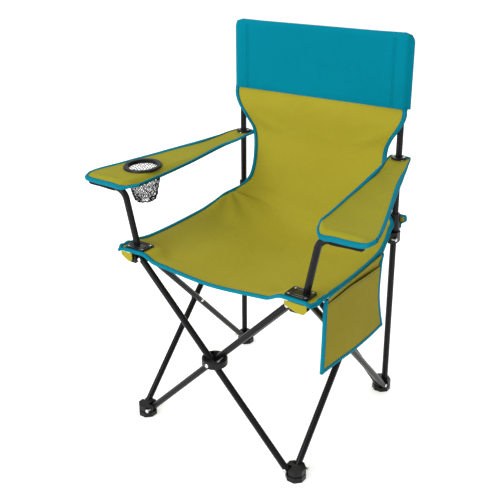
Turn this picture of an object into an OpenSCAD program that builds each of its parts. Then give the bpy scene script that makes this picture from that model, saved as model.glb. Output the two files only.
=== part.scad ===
// Folding camp chair: a scissor frame of eight steel tubes, two rear posts and a
// fabric seat, back and arms. Millimetres, +Z up, the sitter faces -Y, floor at z = 0.

/* [Frame] */
// half the distance between two neighbouring foot centres
corner = 215; // [180:1:260]
// distance of every scissor pivot from its corner
pivot_inset = 20; // [20:1:26]
// height of the pivots in the feet
foot_pivot_z = 21; // [21:1:30]
// height of the pivots in the upper joints, chair open
top_pivot_z = 421; // [340:1:500]
// overall height
chair_h = 903; // [840:1:980]

/* [Tubes] */
// outer diameter of every tube
tube_d = 15; // [13:0.5:15]
// wall of the tubes
tube_wall = 1.0; // [0.8:0.1:1.5]
// how far a leg tube runs past its end pivot
tube_over = 6; // [5:0.5:7]
// free space between two crossing tubes
tube_gap = 1; // [0.6:0.1:1.5]
// sideways offset of the rear posts from the foot centre
post_shift = 2.5; // [0:0.5:3]

/* [Joints] */
// diameter of every rivet shank
rivet_d = 5; // [4:0.5:5.5]
// diameter of the rivet heads
rivet_head_d = 9; // [7:0.5:10]
// height of the rivet heads
rivet_head_h = 2.2; // [1:0.1:3]
// gap around a rivet shank
rivet_gap = 0.1; // [0.05:0.05:0.2]
// width of the feet and upper joint blocks over their flats
block_w = 42.4; // [42:0.2:46]
// height of a foot
foot_h = 28; // [28:1:34]
// gap between the sliders and the rear posts
slide_gap = 0.4; // [0.3:0.05:0.8]
// outer diameter of the two scissor hubs
hub_d = 58; // [53:1:60]
// height of the two scissor hubs
hub_h = 18; // [14:1:18]
// top of the slider sleeves
slider_top_z = 480; // [462:1:500]

/* [Corner plates] */
// width of the seat corner plates
plate_w = 54; // [50:1:60]
// depth of the seat corner plates
plate_d = 42; // [38:1:46]
// thickness of the seat corner plates
plate_t = 3.6; // [2.5:0.1:5]

/* [Arms] */
// outward lean of the arm posts from upright
arm_lean = 12.5; // [8:0.5:16]
// straight length of an arm post below its bend
arm_rise = 118; // [90:1:130]
// straight length of an arm post beyond its bend
arm_reach = 73; // [50:1:80]
// bend radius at the tube centre
arm_bend_r = 30; // [25:1:40]
// height of the armrests at the front
arm_z = 586; // [586:1:600]
// width of an armrest at the front
arm_front_w = 134; // [120:1:140]
// width of an armrest at the rear
arm_rear_w = 54; // [48:1:58]

/* [Cup holder] */
// outer diameter of the cup ring
cup_ring_d = 92; // [84:1:94]
// inner diameter of the cup ring
cup_bore_d = 72; // [66:1:74]
// depth of the net below the armrest
cup_depth = 86; // [60:1:100]
// diameter of the net at its bottom
cup_floor_d = 50; // [40:1:60]

/* [Fabric] */
// thickness of the fabric solids
cloth_t = 2; // [1.5:0.1:2]
// overhang of the seat edge outside the corner
seat_over = 55; // [45:1:60]
// drop of the seat at its middle
seat_sag = 33; // [20:1:45]
// height of the header band
header_h = 170; // [140:1:190]
// length of the side pocket
pocket_l = 282; // [240:1:300]
// drop of the side pocket
pocket_h = 178; // [150:1:190]

/* [Hidden] */
$fn = 64;
BIG = 60;
TUBE_R = tube_d / 2;
BORE_R = TUBE_R - tube_wall;
OFF = TUBE_R + tube_gap / 2;
SIDE = 2 * (corner - pivot_inset);
RISE = top_pivot_z - foot_pivot_z;
LEG = sqrt(SIDE * SIDE + RISE * RISE);
LEAN = atan2(SIDE, RISE);
MID_Z = (top_pivot_z + foot_pivot_z) / 2;
// scissor hubs: half the opening the tubes swing in, and the radius that holds it
HUB_X = hub_h / 2 * tan(LEAN) + TUBE_R / cos(LEAN) + 0.7;
HUB_Y = OFF + TUBE_R + 0.3;
HUB_R = max(hub_d / 2, norm([HUB_X, HUB_Y]) + 1.5);
PIN_R = rivet_d / 2;
HOLE_R = PIN_R + rivet_gap;
HEAD_R = rivet_head_d / 2;
CLEAR = 0.3;
POST_X = corner + post_shift;
// blocks: an octagon whose centre sits a little inward of the corner
BLOCK_IN = 4;
BLOCK_R = block_w / 2 / cos(22.5);
BLOCK_OUT = block_w / 2 - BLOCK_IN;
SOLE_H = 5;
WAIST_Z = 12.4;
WAIST_H = 3.2;
WAIST_IN = 2.4;
SLOT_IN = pivot_inset - tube_over * sin(LEAN) - TUBE_R * cos(LEAN) - 2 * CLEAR;
SLOT_Z = foot_pivot_z - tube_over * cos(LEAN) - TUBE_R * sin(LEAN) - 1;
TOP_BLOCK_H = 26;
TOP_BLOCK_Z = top_pivot_z + foot_pivot_z - SLOT_Z + 4.5;
CLOTH_Z = TOP_BLOCK_Z + 1.4;
PLATE_Z = CLOTH_Z + cloth_t + 0.4;
PLATE_X = corner - 3;
PLATE_Y = -corner + 7;
PLATE_HOLE_X = plate_w / 2 - 7;
PLATE_HOLE_Y = plate_d / 2 - 6.5;
// arm post
ARM_X = corner + 5.8;
ARM_Y = -corner + 11.3;
ARM_Z0 = TOP_BLOCK_Z - 3.6;
ARM_YAW = -5.2;
ARM_FLAT = 85.8;
BEND_LAP = 1.5;
BEND_FULL = 0.15;
// armrest plane
ARM_SLOPE = 3.45;
ARM_FRONT_Y = -corner + 3;
ARM_L = 2 * corner + 6;
CUP_X = corner + 65;
CUP_Y = -corner + 105;
EYE_R = 17.5;
EYE_Z = arm_z + (ARM_L + EYE_R) * tan(ARM_SLOPE) + cloth_t + CLEAR;
EYE_T = 4;
EYE_HOLE_R = TUBE_R + 1;
NET_T = 1.2;
// back and header
HEADER_Z = chair_h - header_h;
SLEEVE_R = TUBE_R + 0.8;
BACK_Y = corner - SLEEVE_R - 2.5;
BACK_EDGE = POST_X + 19.5;
SEAM_T = 2;
// seat
SEAT_EDGE = corner + seat_over;
SEAT_FLAT_X = corner - 30;
SEAT_FRONT = -corner - 20;
SEAT_REAR = corner - 42;
POCKET_X = SEAT_EDGE - 22;
POCKET_T = 14;
POCKET_WALL = 1.6;
POCKET_LIP = 27;

// ---------- helpers ----------

// places a child drawn for the front right corner at corner k, counted leftwards
module at_corner(k) {
  rotate([0, 0, 90 * k])
    translate([corner, -corner, 0])
      children();
}

// turns a foot frame into an upper joint frame
module at_top(k) {
  at_corner(k)
    mirror([1, 1, 0])
      children();
}

module pin(length) {
  cylinder(r = PIN_R, h = length);
  translate([0, 0, -rivet_head_h])
    rivet_head();
}

module rivet_head() {
  cylinder(r1 = HEAD_R * 0.72, r2 = HEAD_R, h = rivet_head_h * 0.45);
  translate([0, 0, rivet_head_h * 0.45])
    cylinder(r = HEAD_R, h = rivet_head_h * 0.55);
}

module octagon(h, r = BLOCK_R) {
  rotate([0, 0, 22.5])
    cylinder(r = r, h = h, $fn = 8);
}

// one leg tube on its middle pivot, along Z, its pins along Y
module leg_tube() {
  difference() {
    translate([0, 0, -LEG / 2 - tube_over])
      cylinder(r = TUBE_R, h = LEG + 2 * tube_over);
    translate([0, 0, -LEG / 2 - tube_over - 1])
      cylinder(r = BORE_R, h = LEG + 2 * tube_over + 2);
    for (z = [-LEG / 2, 0, LEG / 2])
      translate([0, TUBE_R + 1, z])
        rotate([90, 0, 0])
          cylinder(r = HOLE_R, h = tube_d + 2);
  }
}

// side k of the frame: 0 front, 1 right, 2 rear, 3 left
module side_outer(k) {
  rotate([0, 0, 90 * k])
    translate([0, -corner - OFF, MID_Z])
      rotate([0, -LEAN, 0])
        leg_tube();
}

module side_inner(k) {
  rotate([0, 0, 90 * k])
    translate([0, -corner + OFF, MID_Z])
      rotate([0, LEAN, 0])
        leg_tube();
}

// leg tubes of side k
module tube_outer(k) {
  color([0.09, 0.09, 0.1])
    side_outer(k);
}

module tube_inner(k) {
  color([0.09, 0.09, 0.1])
    side_inner(k);
}

// octagonal block with the outer tube on its face and a slot for the inner one
module block(h, floor_z) {
  difference() {
    translate([-BLOCK_IN, BLOCK_IN, 0])
      octagon(h);
    translate([-SLOT_IN - BIG, -BIG - tube_gap / 2 + CLEAR, floor_z])
      cube([BIG, BIG, h]);
    translate([-OFF - TUBE_R - CLEAR, SLOT_IN, floor_z])
      cube([tube_d + 2 * CLEAR, BIG, h]);
  }
}

module block_holes(z) {
  translate([-pivot_inset, 12, z])
    rotate([90, 0, 0])
      cylinder(r = HOLE_R, h = BIG);
  translate([-BIG, pivot_inset, z])
    rotate([0, 90, 0])
      cylinder(r = HOLE_R, h = 2 * BIG);
}

// the two rivets of one block, in the foot frame
module block_rivets(z) {
  translate([-pivot_inset, -OFF - TUBE_R - CLEAR, z])
    rotate([-90, 0, 0])
      pin(OFF + TUBE_R + 11);
  translate([BLOCK_OUT + CLEAR / 3, pivot_inset, z])
    rotate([0, -90, 0])
      pin(block_w - 2);
}

module foot(k, post) {
  color([0.07, 0.07, 0.08])
    at_corner(k)
      difference() {
        union() {
          block(foot_h, SLOT_Z);
          translate([-BLOCK_IN, BLOCK_IN, 0])
            octagon(SOLE_H);
        }
        block_holes(foot_pivot_z);
        groove();
        if (post)
          rotate([0, 0, -90 * k])
            translate([k == 1 ? post_shift : -post_shift, 0, 5])
              cylinder(r = TUBE_R + 0.05, h = BIG);
      }
}

// waist between a foot's flange and its upper part
module groove() {
  translate([-BLOCK_IN, BLOCK_IN, WAIST_Z])
    difference() {
      octagon(WAIST_H, BLOCK_R + 4);
      translate([0, 0, -1])
        octagon(WAIST_H + 2, BLOCK_R - WAIST_IN);
    }
}

module top_block() {
  difference() {
    translate([0, 0, TOP_BLOCK_Z])
      mirror([0, 0, 1])
        block(TOP_BLOCK_H, TOP_BLOCK_Z - top_pivot_z - foot_pivot_z + SLOT_Z);
    block_holes(top_pivot_z);
  }
}

module bracket(k) {
  color([0.08, 0.08, 0.09])
    difference() {
      at_top(k)
        top_block();
      arm_side(k)
        translate([ARM_X, ARM_Y, ARM_Z0])
          rotate([0, 0, ARM_YAW])
            rotate([0, arm_lean, 0])
              cylinder(r = TUBE_R + 0.05, h = BIG);
    }
}

// mirrors a right hand child to the left for corner 3
module arm_side(k) {
  if (k == 3)
    mirror([1, 0, 0])
      children();
  else
    children();
}

// slider: the upper block with a sleeve that runs on the rear post
module slider(k) {
  s = k == 1 ? 1 : -1;
  color([0.08, 0.08, 0.09])
    difference() {
      union() {
        at_top(k)
          top_block();
        translate([s * POST_X, corner, TOP_BLOCK_Z - 1])
          cylinder(r = TUBE_R + 4, h = slider_top_z - TOP_BLOCK_Z + 1);
        translate([s * (POST_X - 9), corner + 4.5, TOP_BLOCK_Z - 1])
          mirror([s < 0 ? 1 : 0, 0, 0])
            cube([18, 8.5, slider_top_z - TOP_BLOCK_Z - 6]);
      }
      translate([s * POST_X, corner, top_pivot_z - BIG])
        cylinder(r = TUBE_R + slide_gap, h = slider_top_z - top_pivot_z + 2 * BIG);
      for (z = [10, 22])
        translate([s * POST_X, corner + BIG / 2, TOP_BLOCK_Z + z])
          rotate([90, 0, 0])
            cylinder(r = 1.6, h = BIG / 2 - 9.5);
    }
}

module rivets_slider(k) {
  s = k == 1 ? 1 : -1;
  color([0.7, 0.7, 0.72]) {
    at_top(k)
      block_rivets(top_pivot_z);
    for (z = [10, 22])
      translate([s * POST_X, corner + 16.8, TOP_BLOCK_Z + z])
        rotate([90, 0, 0])
          ear_rivet();
  }
}

module ear_rivet() {
  cylinder(r = 3.2, h = 1.2);
  cylinder(r = 1.5, h = 6);
}

module rivets_block(k, top) {
  color([0.7, 0.7, 0.72]) {
    if (top)
      at_top(k)
        block_rivets(top_pivot_z);
    else
      at_corner(k)
        block_rivets(foot_pivot_z);
  }
}

module post(s) {
  color([0.09, 0.09, 0.1])
    translate([s * POST_X, corner, 5.2])
      difference() {
        cylinder(r = TUBE_R, h = chair_h - 14.2);
        translate([0, 0, -1])
          cylinder(r = BORE_R, h = chair_h);
      }
}

module post_cap(s) {
  color([0.05, 0.05, 0.05])
    translate([s * POST_X, corner, chair_h - 9]) {
      translate([0, 0, 0.1])
        cylinder(r1 = TUBE_R, r2 = TUBE_R - 1.5, h = 4);
      translate([0, 0, -12])
        cylinder(r = BORE_R - 0.1, h = 12.2);
    }
}

module hub(k) {
  color([0.07, 0.07, 0.08])
    rotate([0, 0, 90 * k])
      translate([0, -corner, MID_Z - hub_h / 2])
        difference() {
          union() {
            translate([0, 0, 2])
              cylinder(r = HUB_R, h = hub_h - 4);
            cylinder(r1 = HUB_R - 2, r2 = HUB_R, h = 2);
            translate([0, 0, hub_h - 2])
              cylinder(r1 = HUB_R, r2 = HUB_R - 2, h = 2);
          }
          hub_window();
          translate([0, BIG, hub_h / 2])
            rotate([90, 0, 0])
              cylinder(r = HOLE_R, h = 2 * BIG);
        }
}

// the opening both tubes swing in
module hub_window() {
  translate([-HUB_X, -HUB_Y, -1])
    cube([2 * HUB_X, 2 * HUB_Y, hub_h + 2]);
}

module hub_rivet(k) {
  color([0.75, 0.75, 0.77])
    rotate([0, 0, 90 * k])
      translate([0, -corner, MID_Z]) {
        translate([0, -HUB_R - 0.1, 0])
          rotate([-90, 0, 0])
            pin(2 * HUB_R + 0.2);
        translate([0, HUB_R + 0.1, 0])
          rotate([90, 0, 0])
            translate([0, 0, -rivet_head_h])
              rivet_head();
      }
}

// plain rivet with a washer between the two side tubes
module side_rivet(k) {
  y = OFF + TUBE_R + CLEAR;
  color([0.75, 0.75, 0.77])
    rotate([0, 0, 90 * k])
      translate([0, -corner, MID_Z]) {
        translate([0, -y, 0])
          rotate([-90, 0, 0])
            pin(2 * y);
        translate([0, y, 0])
          rotate([90, 0, 0])
            translate([0, 0, -rivet_head_h])
              rivet_head();
        translate([0, tube_gap * 0.35, 0])
          rotate([90, 0, 0])
            cylinder(r = 6, h = tube_gap * 0.7);
      }
}

module plate(s) {
  color([0.05, 0.05, 0.06])
    translate([s * PLATE_X, PLATE_Y, PLATE_Z])
      difference() {
        rounded_slab(plate_w, plate_d, plate_t, 5);
        for (x = [-1, 1], y = [-1, 1])
          translate([x * PLATE_HOLE_X, y * PLATE_HOLE_Y, -1])
            cylinder(r = 1.6, h = BIG);
        translate([s * (ARM_X - PLATE_X), ARM_Y - PLATE_Y, -PLATE_Z + ARM_Z0])
          rotate([0, 0, s * ARM_YAW])
            rotate([0, s * arm_lean, 0])
              cylinder(r = TUBE_R + 0.25, h = BIG);
      }
}

module rounded_slab(w, d, h, r) {
  translate([-w / 2 + r, -d / 2, 0])
    cube([w - 2 * r, d, h]);
  translate([-w / 2, -d / 2 + r, 0])
    cube([w, d - 2 * r, h]);
  for (x = [-1, 1], y = [-1, 1])
    translate([x * (w / 2 - r), y * (d / 2 - r), 0])
      cylinder(r = r, h = h);
}

module plate_rivets(s) {
  color([0.75, 0.75, 0.77])
    for (x = [-1, 1], y = [-1, 1])
      translate([s * PLATE_X + x * PLATE_HOLE_X, PLATE_Y + y * PLATE_HOLE_Y, 0]) {
        translate([0, 0, PLATE_Z + plate_t + 0.05])
          cylinder(r1 = 3, r2 = 2, h = 1.2);
        translate([0, 0, PLATE_Z + 0.2])
          cylinder(r = 1.5, h = plate_t);
      }
}

// bent tube that carries the front of an armrest, for the right side; the press
// bend is a hair fuller than the tube and closed inside
module arm_tube() {
  rotate([0, arm_lean, 0]) {
    difference() {
      cylinder(r = TUBE_R, h = arm_rise + BEND_LAP);
      translate([0, 0, -1])
        cylinder(r = BORE_R, h = arm_rise - BEND_LAP);
    }
    translate([arm_bend_r, 0, arm_rise])
      rotate([90, 0, 0])
        rotate([0, 0, 180 - (ARM_FLAT - arm_lean)])
          rotate_extrude(angle = ARM_FLAT - arm_lean)
            translate([arm_bend_r, 0])
              circle(r = TUBE_R + BEND_FULL);
    translate([arm_bend_r, 0, arm_rise])
      rotate([0, ARM_FLAT - arm_lean, 0])
        translate([-arm_bend_r, 0, -BEND_LAP])
          difference() {
            cylinder(r = TUBE_R, h = arm_reach + BEND_LAP);
            translate([0, 0, 2 * BEND_LAP])
              cylinder(r = BORE_R, h = arm_reach);
          }
  }
}

module arm_post(s) {
  color([0.09, 0.09, 0.1])
    mirror([s < 0 ? 1 : 0, 0, 0])
      translate([ARM_X, ARM_Y, ARM_Z0])
        rotate([0, 0, ARM_YAW])
          arm_tube();
}

// places a child on the armrest plane of side s
module on_arm(s) {
  mirror([s < 0 ? 1 : 0, 0, 0])
    translate([0, ARM_FRONT_Y, arm_z])
      rotate([ARM_SLOPE, 0, 0])
        children();
}

module armrest(s) {
  rear_x = POST_X - arm_rear_w / 2 - 1;
  post_v = (corner - ARM_FRONT_Y) / cos(ARM_SLOPE);
  color([0.62, 0.6, 0.19])
    on_arm(s)
      linear_extrude(cloth_t)
        difference() {
          polygon([[corner + 16, 30], [corner + 24, -4], [corner + 60, -14],
            [corner + arm_front_w + 3, -16], [corner + arm_front_w + 16, 12],
            [corner + arm_front_w + 6, 70], [rear_x + arm_rear_w, ARM_L],
            [rear_x + arm_rear_w - 8, ARM_L + 12], [rear_x + 8, ARM_L + 12],
            [rear_x, ARM_L]]);
          translate([POST_X, post_v])
            circle(r = TUBE_R + 2);
          if (s < 0)
            translate([CUP_X, (CUP_Y - ARM_FRONT_Y) / cos(ARM_SLOPE)])
              circle(r = cup_bore_d / 2 + 3);
        }
}

module cup_ring() {
  r = cup_bore_d / 2;
  color([0.06, 0.06, 0.07])
    on_arm(-1)
      translate([CUP_X, (CUP_Y - ARM_FRONT_Y) / cos(ARM_SLOPE), 0]) {
        difference() {
          union() {
            translate([0, 0, cloth_t + CLEAR])
              cylinder(r1 = cup_ring_d / 2, r2 = cup_ring_d / 2 - 2, h = 3.4);
            translate([0, 0, -4])
              cylinder(r = r + 2.4, h = 7);
          }
          translate([0, 0, -5])
            cylinder(r = r, h = 14);
        }
      }
}

// net basket: hangs round the outside of the ring's skirt
module cup_net() {
  top_r = cup_bore_d / 2 + 3.9;
  low_r = cup_floor_d / 2;
  knee_r = low_r + (top_r - low_r) * 0.72;
  knee_z = -cup_depth * 0.6;
  color([0.1, 0.1, 0.11])
    on_arm(-1)
      translate([CUP_X, (CUP_Y - ARM_FRONT_Y) / cos(ARM_SLOPE), 0])
        rotate_extrude()
          polygon([[0, -cup_depth], [low_r, -cup_depth], [knee_r, knee_z],
            [top_r, -CLEAR], [top_r - NET_T, -CLEAR], [knee_r - NET_T, knee_z],
            [low_r - NET_T / 2, -cup_depth + NET_T], [0, -cup_depth + NET_T]]);
}

module eyelet(s) {
  color([0.06, 0.06, 0.07])
    translate([s * POST_X, corner, EYE_Z])
      difference() {
        union() {
          cylinder(r = EYE_R, h = EYE_T - 1);
          translate([0, 0, EYE_T - 1])
            cylinder(r1 = EYE_R, r2 = EYE_R - 1, h = 1);
        }
        translate([0, 0, -1])
          cylinder(r = EYE_HOLE_R, h = EYE_T + 2);
        for (x = [-1, 1])
          translate([x * 13, 0, -1])
            cylinder(r = 1.6, h = EYE_T + 2);
      }
}

module eyelet_rivets(s) {
  color([0.75, 0.75, 0.77])
    for (x = [-1, 1])
      translate([s * POST_X + x * 13, corner, EYE_Z]) {
        translate([0, 0, EYE_T + 0.05])
          cylinder(r1 = 2.6, r2 = 1.8, h = 1.2);
        translate([0, 0, 0.1])
          cylinder(r = 1.5, h = EYE_T + 0.1);
      }
}

// level strip of the seat along one side, clamped under the corner plate
module seat_edge(s) {
  color([0.6, 0.58, 0.18])
    mirror([s < 0 ? 1 : 0, 0, 0])
      difference() {
        translate([0, 0, CLOTH_Z])
          linear_extrude(cloth_t)
            polygon([[SEAT_FLAT_X + CLEAR, SEAT_FRONT], [SEAT_EDGE - 16, SEAT_FRONT - 2],
              [SEAT_EDGE + 1, SEAT_FRONT + 24], [SEAT_EDGE - 6, 0],
              [SEAT_EDGE - 12, corner - 60], [corner - 14, SEAT_REAR],
              [SEAT_FLAT_X + CLEAR, SEAT_REAR]]);
        translate([ARM_X, ARM_Y, ARM_Z0 + 4])
          cylinder(r = TUBE_R + 4, h = 12);
      }
}

// one half of the seat, falling from its edge strip to the middle
module seat(s) {
  fall = atan2(seat_sag, SEAT_FLAT_X);
  run = SEAT_FLAT_X / cos(fall);
  color([0.6, 0.58, 0.18])
    mirror([s < 0 ? 1 : 0, 0, 0])
      translate([SEAT_FLAT_X, 0, CLOTH_Z])
        rotate([0, -fall, 0])
          linear_extrude(cloth_t)
            polygon([[0, SEAT_FRONT], [0, SEAT_REAR],
              [-run + 1, SEAT_REAR], [-run + 1, SEAT_FRONT]]);
}

// a flat fabric facet between two edges, each [half width, y, z]
module facet(a, b) {
  run = sqrt(pow(b[1] - a[1], 2) + pow(b[2] - a[2], 2));
  translate([0, a[1], a[2]])
    rotate([atan2(b[2] - a[2], b[1] - a[1]), 0, 0])
      linear_extrude(cloth_t)
        polygon([[-a[0], -0.2], [a[0], -0.2], [b[0], run + 0.2], [-b[0], run + 0.2]]);
}

module back_panel() {
  rows = [[corner - 16, corner - 28, 438], [corner - 24, corner - 2, 505],
    [corner - 31, corner + 8, 560], [corner - 30, corner + 8, 622],
    [corner - 14, corner - 4, 652], [corner - 2, BACK_Y, 676],
    [POST_X + 7, BACK_Y, 694], [BACK_EDGE - 4, BACK_Y, 712], [BACK_EDGE - 4, BACK_Y, HEADER_Z - 0.6]];
  color([0.6, 0.58, 0.18])
    for (i = [0 : len(rows) - 2])
      facet(rows[i], rows[i + 1]);
}

// header band: front sheet with a sleeve and a seam flap on each post
module header_band() {
  color([0.02, 0.5, 0.6])
    difference() {
      union() {
        translate([-POST_X, BACK_Y - cloth_t, HEADER_Z])
          cube([2 * POST_X, cloth_t, header_h]);
        for (s = [-1, 1])
          translate([s * POST_X, corner, HEADER_Z]) {
            cylinder(r = SLEEVE_R + 2.7, h = header_h);
            translate([s < 0 ? -19.5 : 0, -SEAM_T / 2, 0])
              cube([19.5, SEAM_T, header_h]);
          }
      }
      for (s = [-1, 1])
        translate([s * POST_X, corner, HEADER_Z - 1])
          cylinder(r = SLEEVE_R, h = header_h - 1);
    }
}

// flat pocket hanging from the seat edge; its outer layer stops short of the top
module side_pocket() {
  top = CLOTH_Z - 2;
  y0 = -corner + 25;
  outline = [[y0, top], [y0 - 4, top - pocket_h * 0.94], [y0 + 10, top - pocket_h * 0.97],
    [y0 + pocket_l, top - pocket_h - 10], [y0 + pocket_l - 22, top - pocket_h * 0.5],
    [y0 + pocket_l - 10, top - 2]];
  inside = [[y0 + 4, top + 2], [y0, top - pocket_h * 0.92],
    [y0 + 10, top - pocket_h * 0.94], [y0 + pocket_l - 6, top - pocket_h],
    [y0 + pocket_l - 26, top - pocket_h * 0.5], [y0 + pocket_l - 14, top + 2]];
  color([0.6, 0.58, 0.18])
    translate([POCKET_X, 0, 0])
      difference() {
        rotate([90, 0, 90])
          difference() {
            linear_extrude(POCKET_T)
              polygon(outline);
            translate([0, 0, POCKET_WALL])
              linear_extrude(POCKET_T - 2 * POCKET_WALL)
                polygon(inside);
          }
        translate([POCKET_WALL, y0 + 12, top - POCKET_LIP])
          cube([POCKET_T, pocket_l - 38, BIG]);
      }
}

// fabric flap that wraps the front of an upper joint block
module corner_tab(s) {
  color([0.66, 0.64, 0.25])
    translate([s * (corner - 2), -corner - BLOCK_OUT - rivet_head_h - 0.1, TOP_BLOCK_Z - 22])
      rotate([90, 0, 0])
        difference() {
          union() {
            translate([-20, 8, 0])
              cube([40, 14, cloth_t]);
            translate([-12, 0, 0])
              cube([24, 10, cloth_t]);
            for (x = [-12, 12])
              translate([x, 8, 0])
                cylinder(r = 8, h = cloth_t);
          }
          translate([-BIG, 22, -1])
            cube([2 * BIG, BIG, BIG]);
        }
}

// fabric ear that ties a rear seat corner to its slider
module seat_ear(s) {
  color([0.6, 0.58, 0.18])
    translate([s * POST_X, corner + 13.2, TOP_BLOCK_Z + 3])
      difference() {
        translate([s < 0 ? -23 : -9, 0, 0])
          cube([32, cloth_t, 33]);
        for (z = [7, 19])
          translate([0, cloth_t + 1, z])
            rotate([90, 0, 0])
              cylinder(r = 1.8, h = cloth_t + 2);
      }
}

// ---------- nodes ----------

post(-1);  // post_left
post(1);  // post_right
post_cap(-1);  // post_cap_left
post_cap(1);  // post_cap_right
foot(3, false);  // foot_front_left
foot(0, false);  // foot_front_right
foot(2, true);  // foot_rear_left
foot(1, true);  // foot_rear_right
tube_outer(0);  // tube_front_outer
tube_inner(0);  // tube_front_inner
tube_outer(1);  // tube_right_outer
tube_inner(1);  // tube_right_inner
tube_outer(2);  // tube_rear_outer
tube_inner(2);  // tube_rear_inner
tube_outer(3);  // tube_left_outer
tube_inner(3);  // tube_left_inner
hub(0);  // hub_front
hub(2);  // hub_rear
hub_rivet(0);  // rivet_hub_front
hub_rivet(2);  // rivet_hub_rear
side_rivet(3);  // rivet_side_left
side_rivet(1);  // rivet_side_right
rivets_block(3, false);  // rivets_foot_front_left
rivets_block(0, false);  // rivets_foot_front_right
rivets_block(2, false);  // rivets_foot_rear_left
rivets_block(1, false);  // rivets_foot_rear_right
bracket(3);  // bracket_left
bracket(0);  // bracket_right
slider(2);  // slider_left
slider(1);  // slider_right
rivets_block(3, true);  // rivets_bracket_left
rivets_block(0, true);  // rivets_bracket_right
rivets_slider(2);  // rivets_slider_left
rivets_slider(1);  // rivets_slider_right
plate(-1);  // corner_plate_left
plate(1);  // corner_plate_right
plate_rivets(-1);  // plate_rivets_left
plate_rivets(1);  // plate_rivets_right
arm_post(-1);  // arm_post_left
arm_post(1);  // arm_post_right
eyelet(-1);  // eyelet_left
eyelet(1);  // eyelet_right
eyelet_rivets(-1);  // eyelet_rivets_left
eyelet_rivets(1);  // eyelet_rivets_right
armrest(-1);  // armrest_left
armrest(1);  // armrest_right
cup_ring();
cup_net();
seat(-1);  // seat_left
seat(1);  // seat_right
seat_edge(-1);  // seat_edge_left
seat_edge(1);  // seat_edge_right
back_panel();
header_band();
side_pocket();
corner_tab(-1);  // corner_tab_left
corner_tab(1);  // corner_tab_right
seat_ear(-1);  // seat_ear_left
seat_ear(1);  // seat_ear_right
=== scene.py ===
"""Looks of a folding camp chair: sewn fabric, tapes, stitches, net and frame finishes.

Sizes are millimetres while a piece is shaped and metres once its mesh is made.
"""

import logging
import math
from dataclasses import dataclass, field
from enum import Enum
from typing import Sequence

import bpy
import numpy as np
from mathutils import Matrix, Vector


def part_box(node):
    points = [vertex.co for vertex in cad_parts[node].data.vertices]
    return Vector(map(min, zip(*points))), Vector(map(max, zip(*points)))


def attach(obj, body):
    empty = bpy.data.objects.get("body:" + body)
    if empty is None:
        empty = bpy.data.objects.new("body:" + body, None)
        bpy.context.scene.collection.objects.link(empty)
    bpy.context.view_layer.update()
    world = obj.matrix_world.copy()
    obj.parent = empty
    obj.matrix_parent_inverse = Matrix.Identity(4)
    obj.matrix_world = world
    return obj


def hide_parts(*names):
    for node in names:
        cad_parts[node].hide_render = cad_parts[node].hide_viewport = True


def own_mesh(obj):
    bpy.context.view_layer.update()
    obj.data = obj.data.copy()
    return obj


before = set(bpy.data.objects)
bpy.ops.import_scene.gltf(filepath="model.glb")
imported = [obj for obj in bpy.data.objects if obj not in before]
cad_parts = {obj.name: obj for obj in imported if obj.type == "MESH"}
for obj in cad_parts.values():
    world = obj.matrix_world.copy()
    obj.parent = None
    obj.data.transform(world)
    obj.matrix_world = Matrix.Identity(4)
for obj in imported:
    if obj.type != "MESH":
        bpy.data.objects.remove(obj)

LOG = logging.getLogger("camp_chair")
MM = 0.001
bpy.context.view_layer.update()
SEED = 11

# places taken over from the frame's design, in millimetres
POST_X = 217.5
HINGE_X = 185.0
CLOTH_Z = 438.6
ARM_Z = 587.0
ARM_FRONT_Y = -212.0
ARM_SLOPE = math.radians(3.45)
CUP_X = 280.0
CUP_V = 102.2
CUP_R = 36.0
HEADER_Z = 733.0
TOP_Z = 901.5
EYELET_V = 427.8
EYELET_HOLE_R = 11.5
CUP_HOLE_GAP = 5.5
CUP_CUT_GAP = 9.0
FLOOR_Z = -0.0004
CLOTH_T = 1.5
TAPE_W = 10.0
TAPE_LIFT = 2.0
STITCH_IN = TAPE_W - 2.0

Array = np.ndarray


class Side(Enum):
    """Side of the chair as seen from the front, which faces -Y."""

    LEFT = -1
    RIGHT = 1

    @property
    def label(self) -> str:
        """Lower-case word used in names."""
        return self.name.lower()


class Layer(Enum):
    """Material index of each layer within a sewn piece."""

    CLOTH = 0
    TAPE = 1


# ---------- small geometry ----------


def smooth(value: Array | float) -> Array:
    """Smooth 0 to 1 step of a value, clipped."""
    t = np.clip(value, 0.0, 1.0)
    return t * t * (3.0 - 2.0 * t)


def unit(vectors: Array) -> Array:
    """Vectors scaled to length one along their last axis."""
    return vectors / np.maximum(np.linalg.norm(vectors, axis=-1, keepdims=True), 1e-9)


def arm_plane(v: Array | float, h: Array | float) -> tuple[Array, Array]:
    """Y and Z of a place on the armrest plane, v from its front and h above it."""
    y = ARM_FRONT_Y + v * math.cos(ARM_SLOPE) - h * math.sin(ARM_SLOPE)
    z = ARM_Z - 1.0 + v * math.sin(ARM_SLOPE) + h * math.cos(ARM_SLOPE)
    return y, z


def spline(points: Sequence[Sequence[float]], at: Array) -> Array:
    """Catmull-Rom curve through evenly numbered points.

    Args:
        points: The points, each a row of any number of values.
        at: Positions along the curve, from 0 to len(points) - 1.

    Returns:
        One row of values for each position.
    """
    p = np.asarray(points, float)
    p = np.vstack([2 * p[0] - p[1], p, 2 * p[-1] - p[-2]])
    i = np.clip(np.floor(at).astype(int), 0, len(p) - 4)
    t = (np.asarray(at, float) - i)[:, None]
    a, b, c, d = p[i], p[i + 1], p[i + 2], p[i + 3]
    return 0.5 * (
        2 * b + (c - a) * t + (2 * a - 5 * b + 4 * c - d) * t**2 + (3 * b - a - 3 * c + d) * t**3
    )


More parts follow.
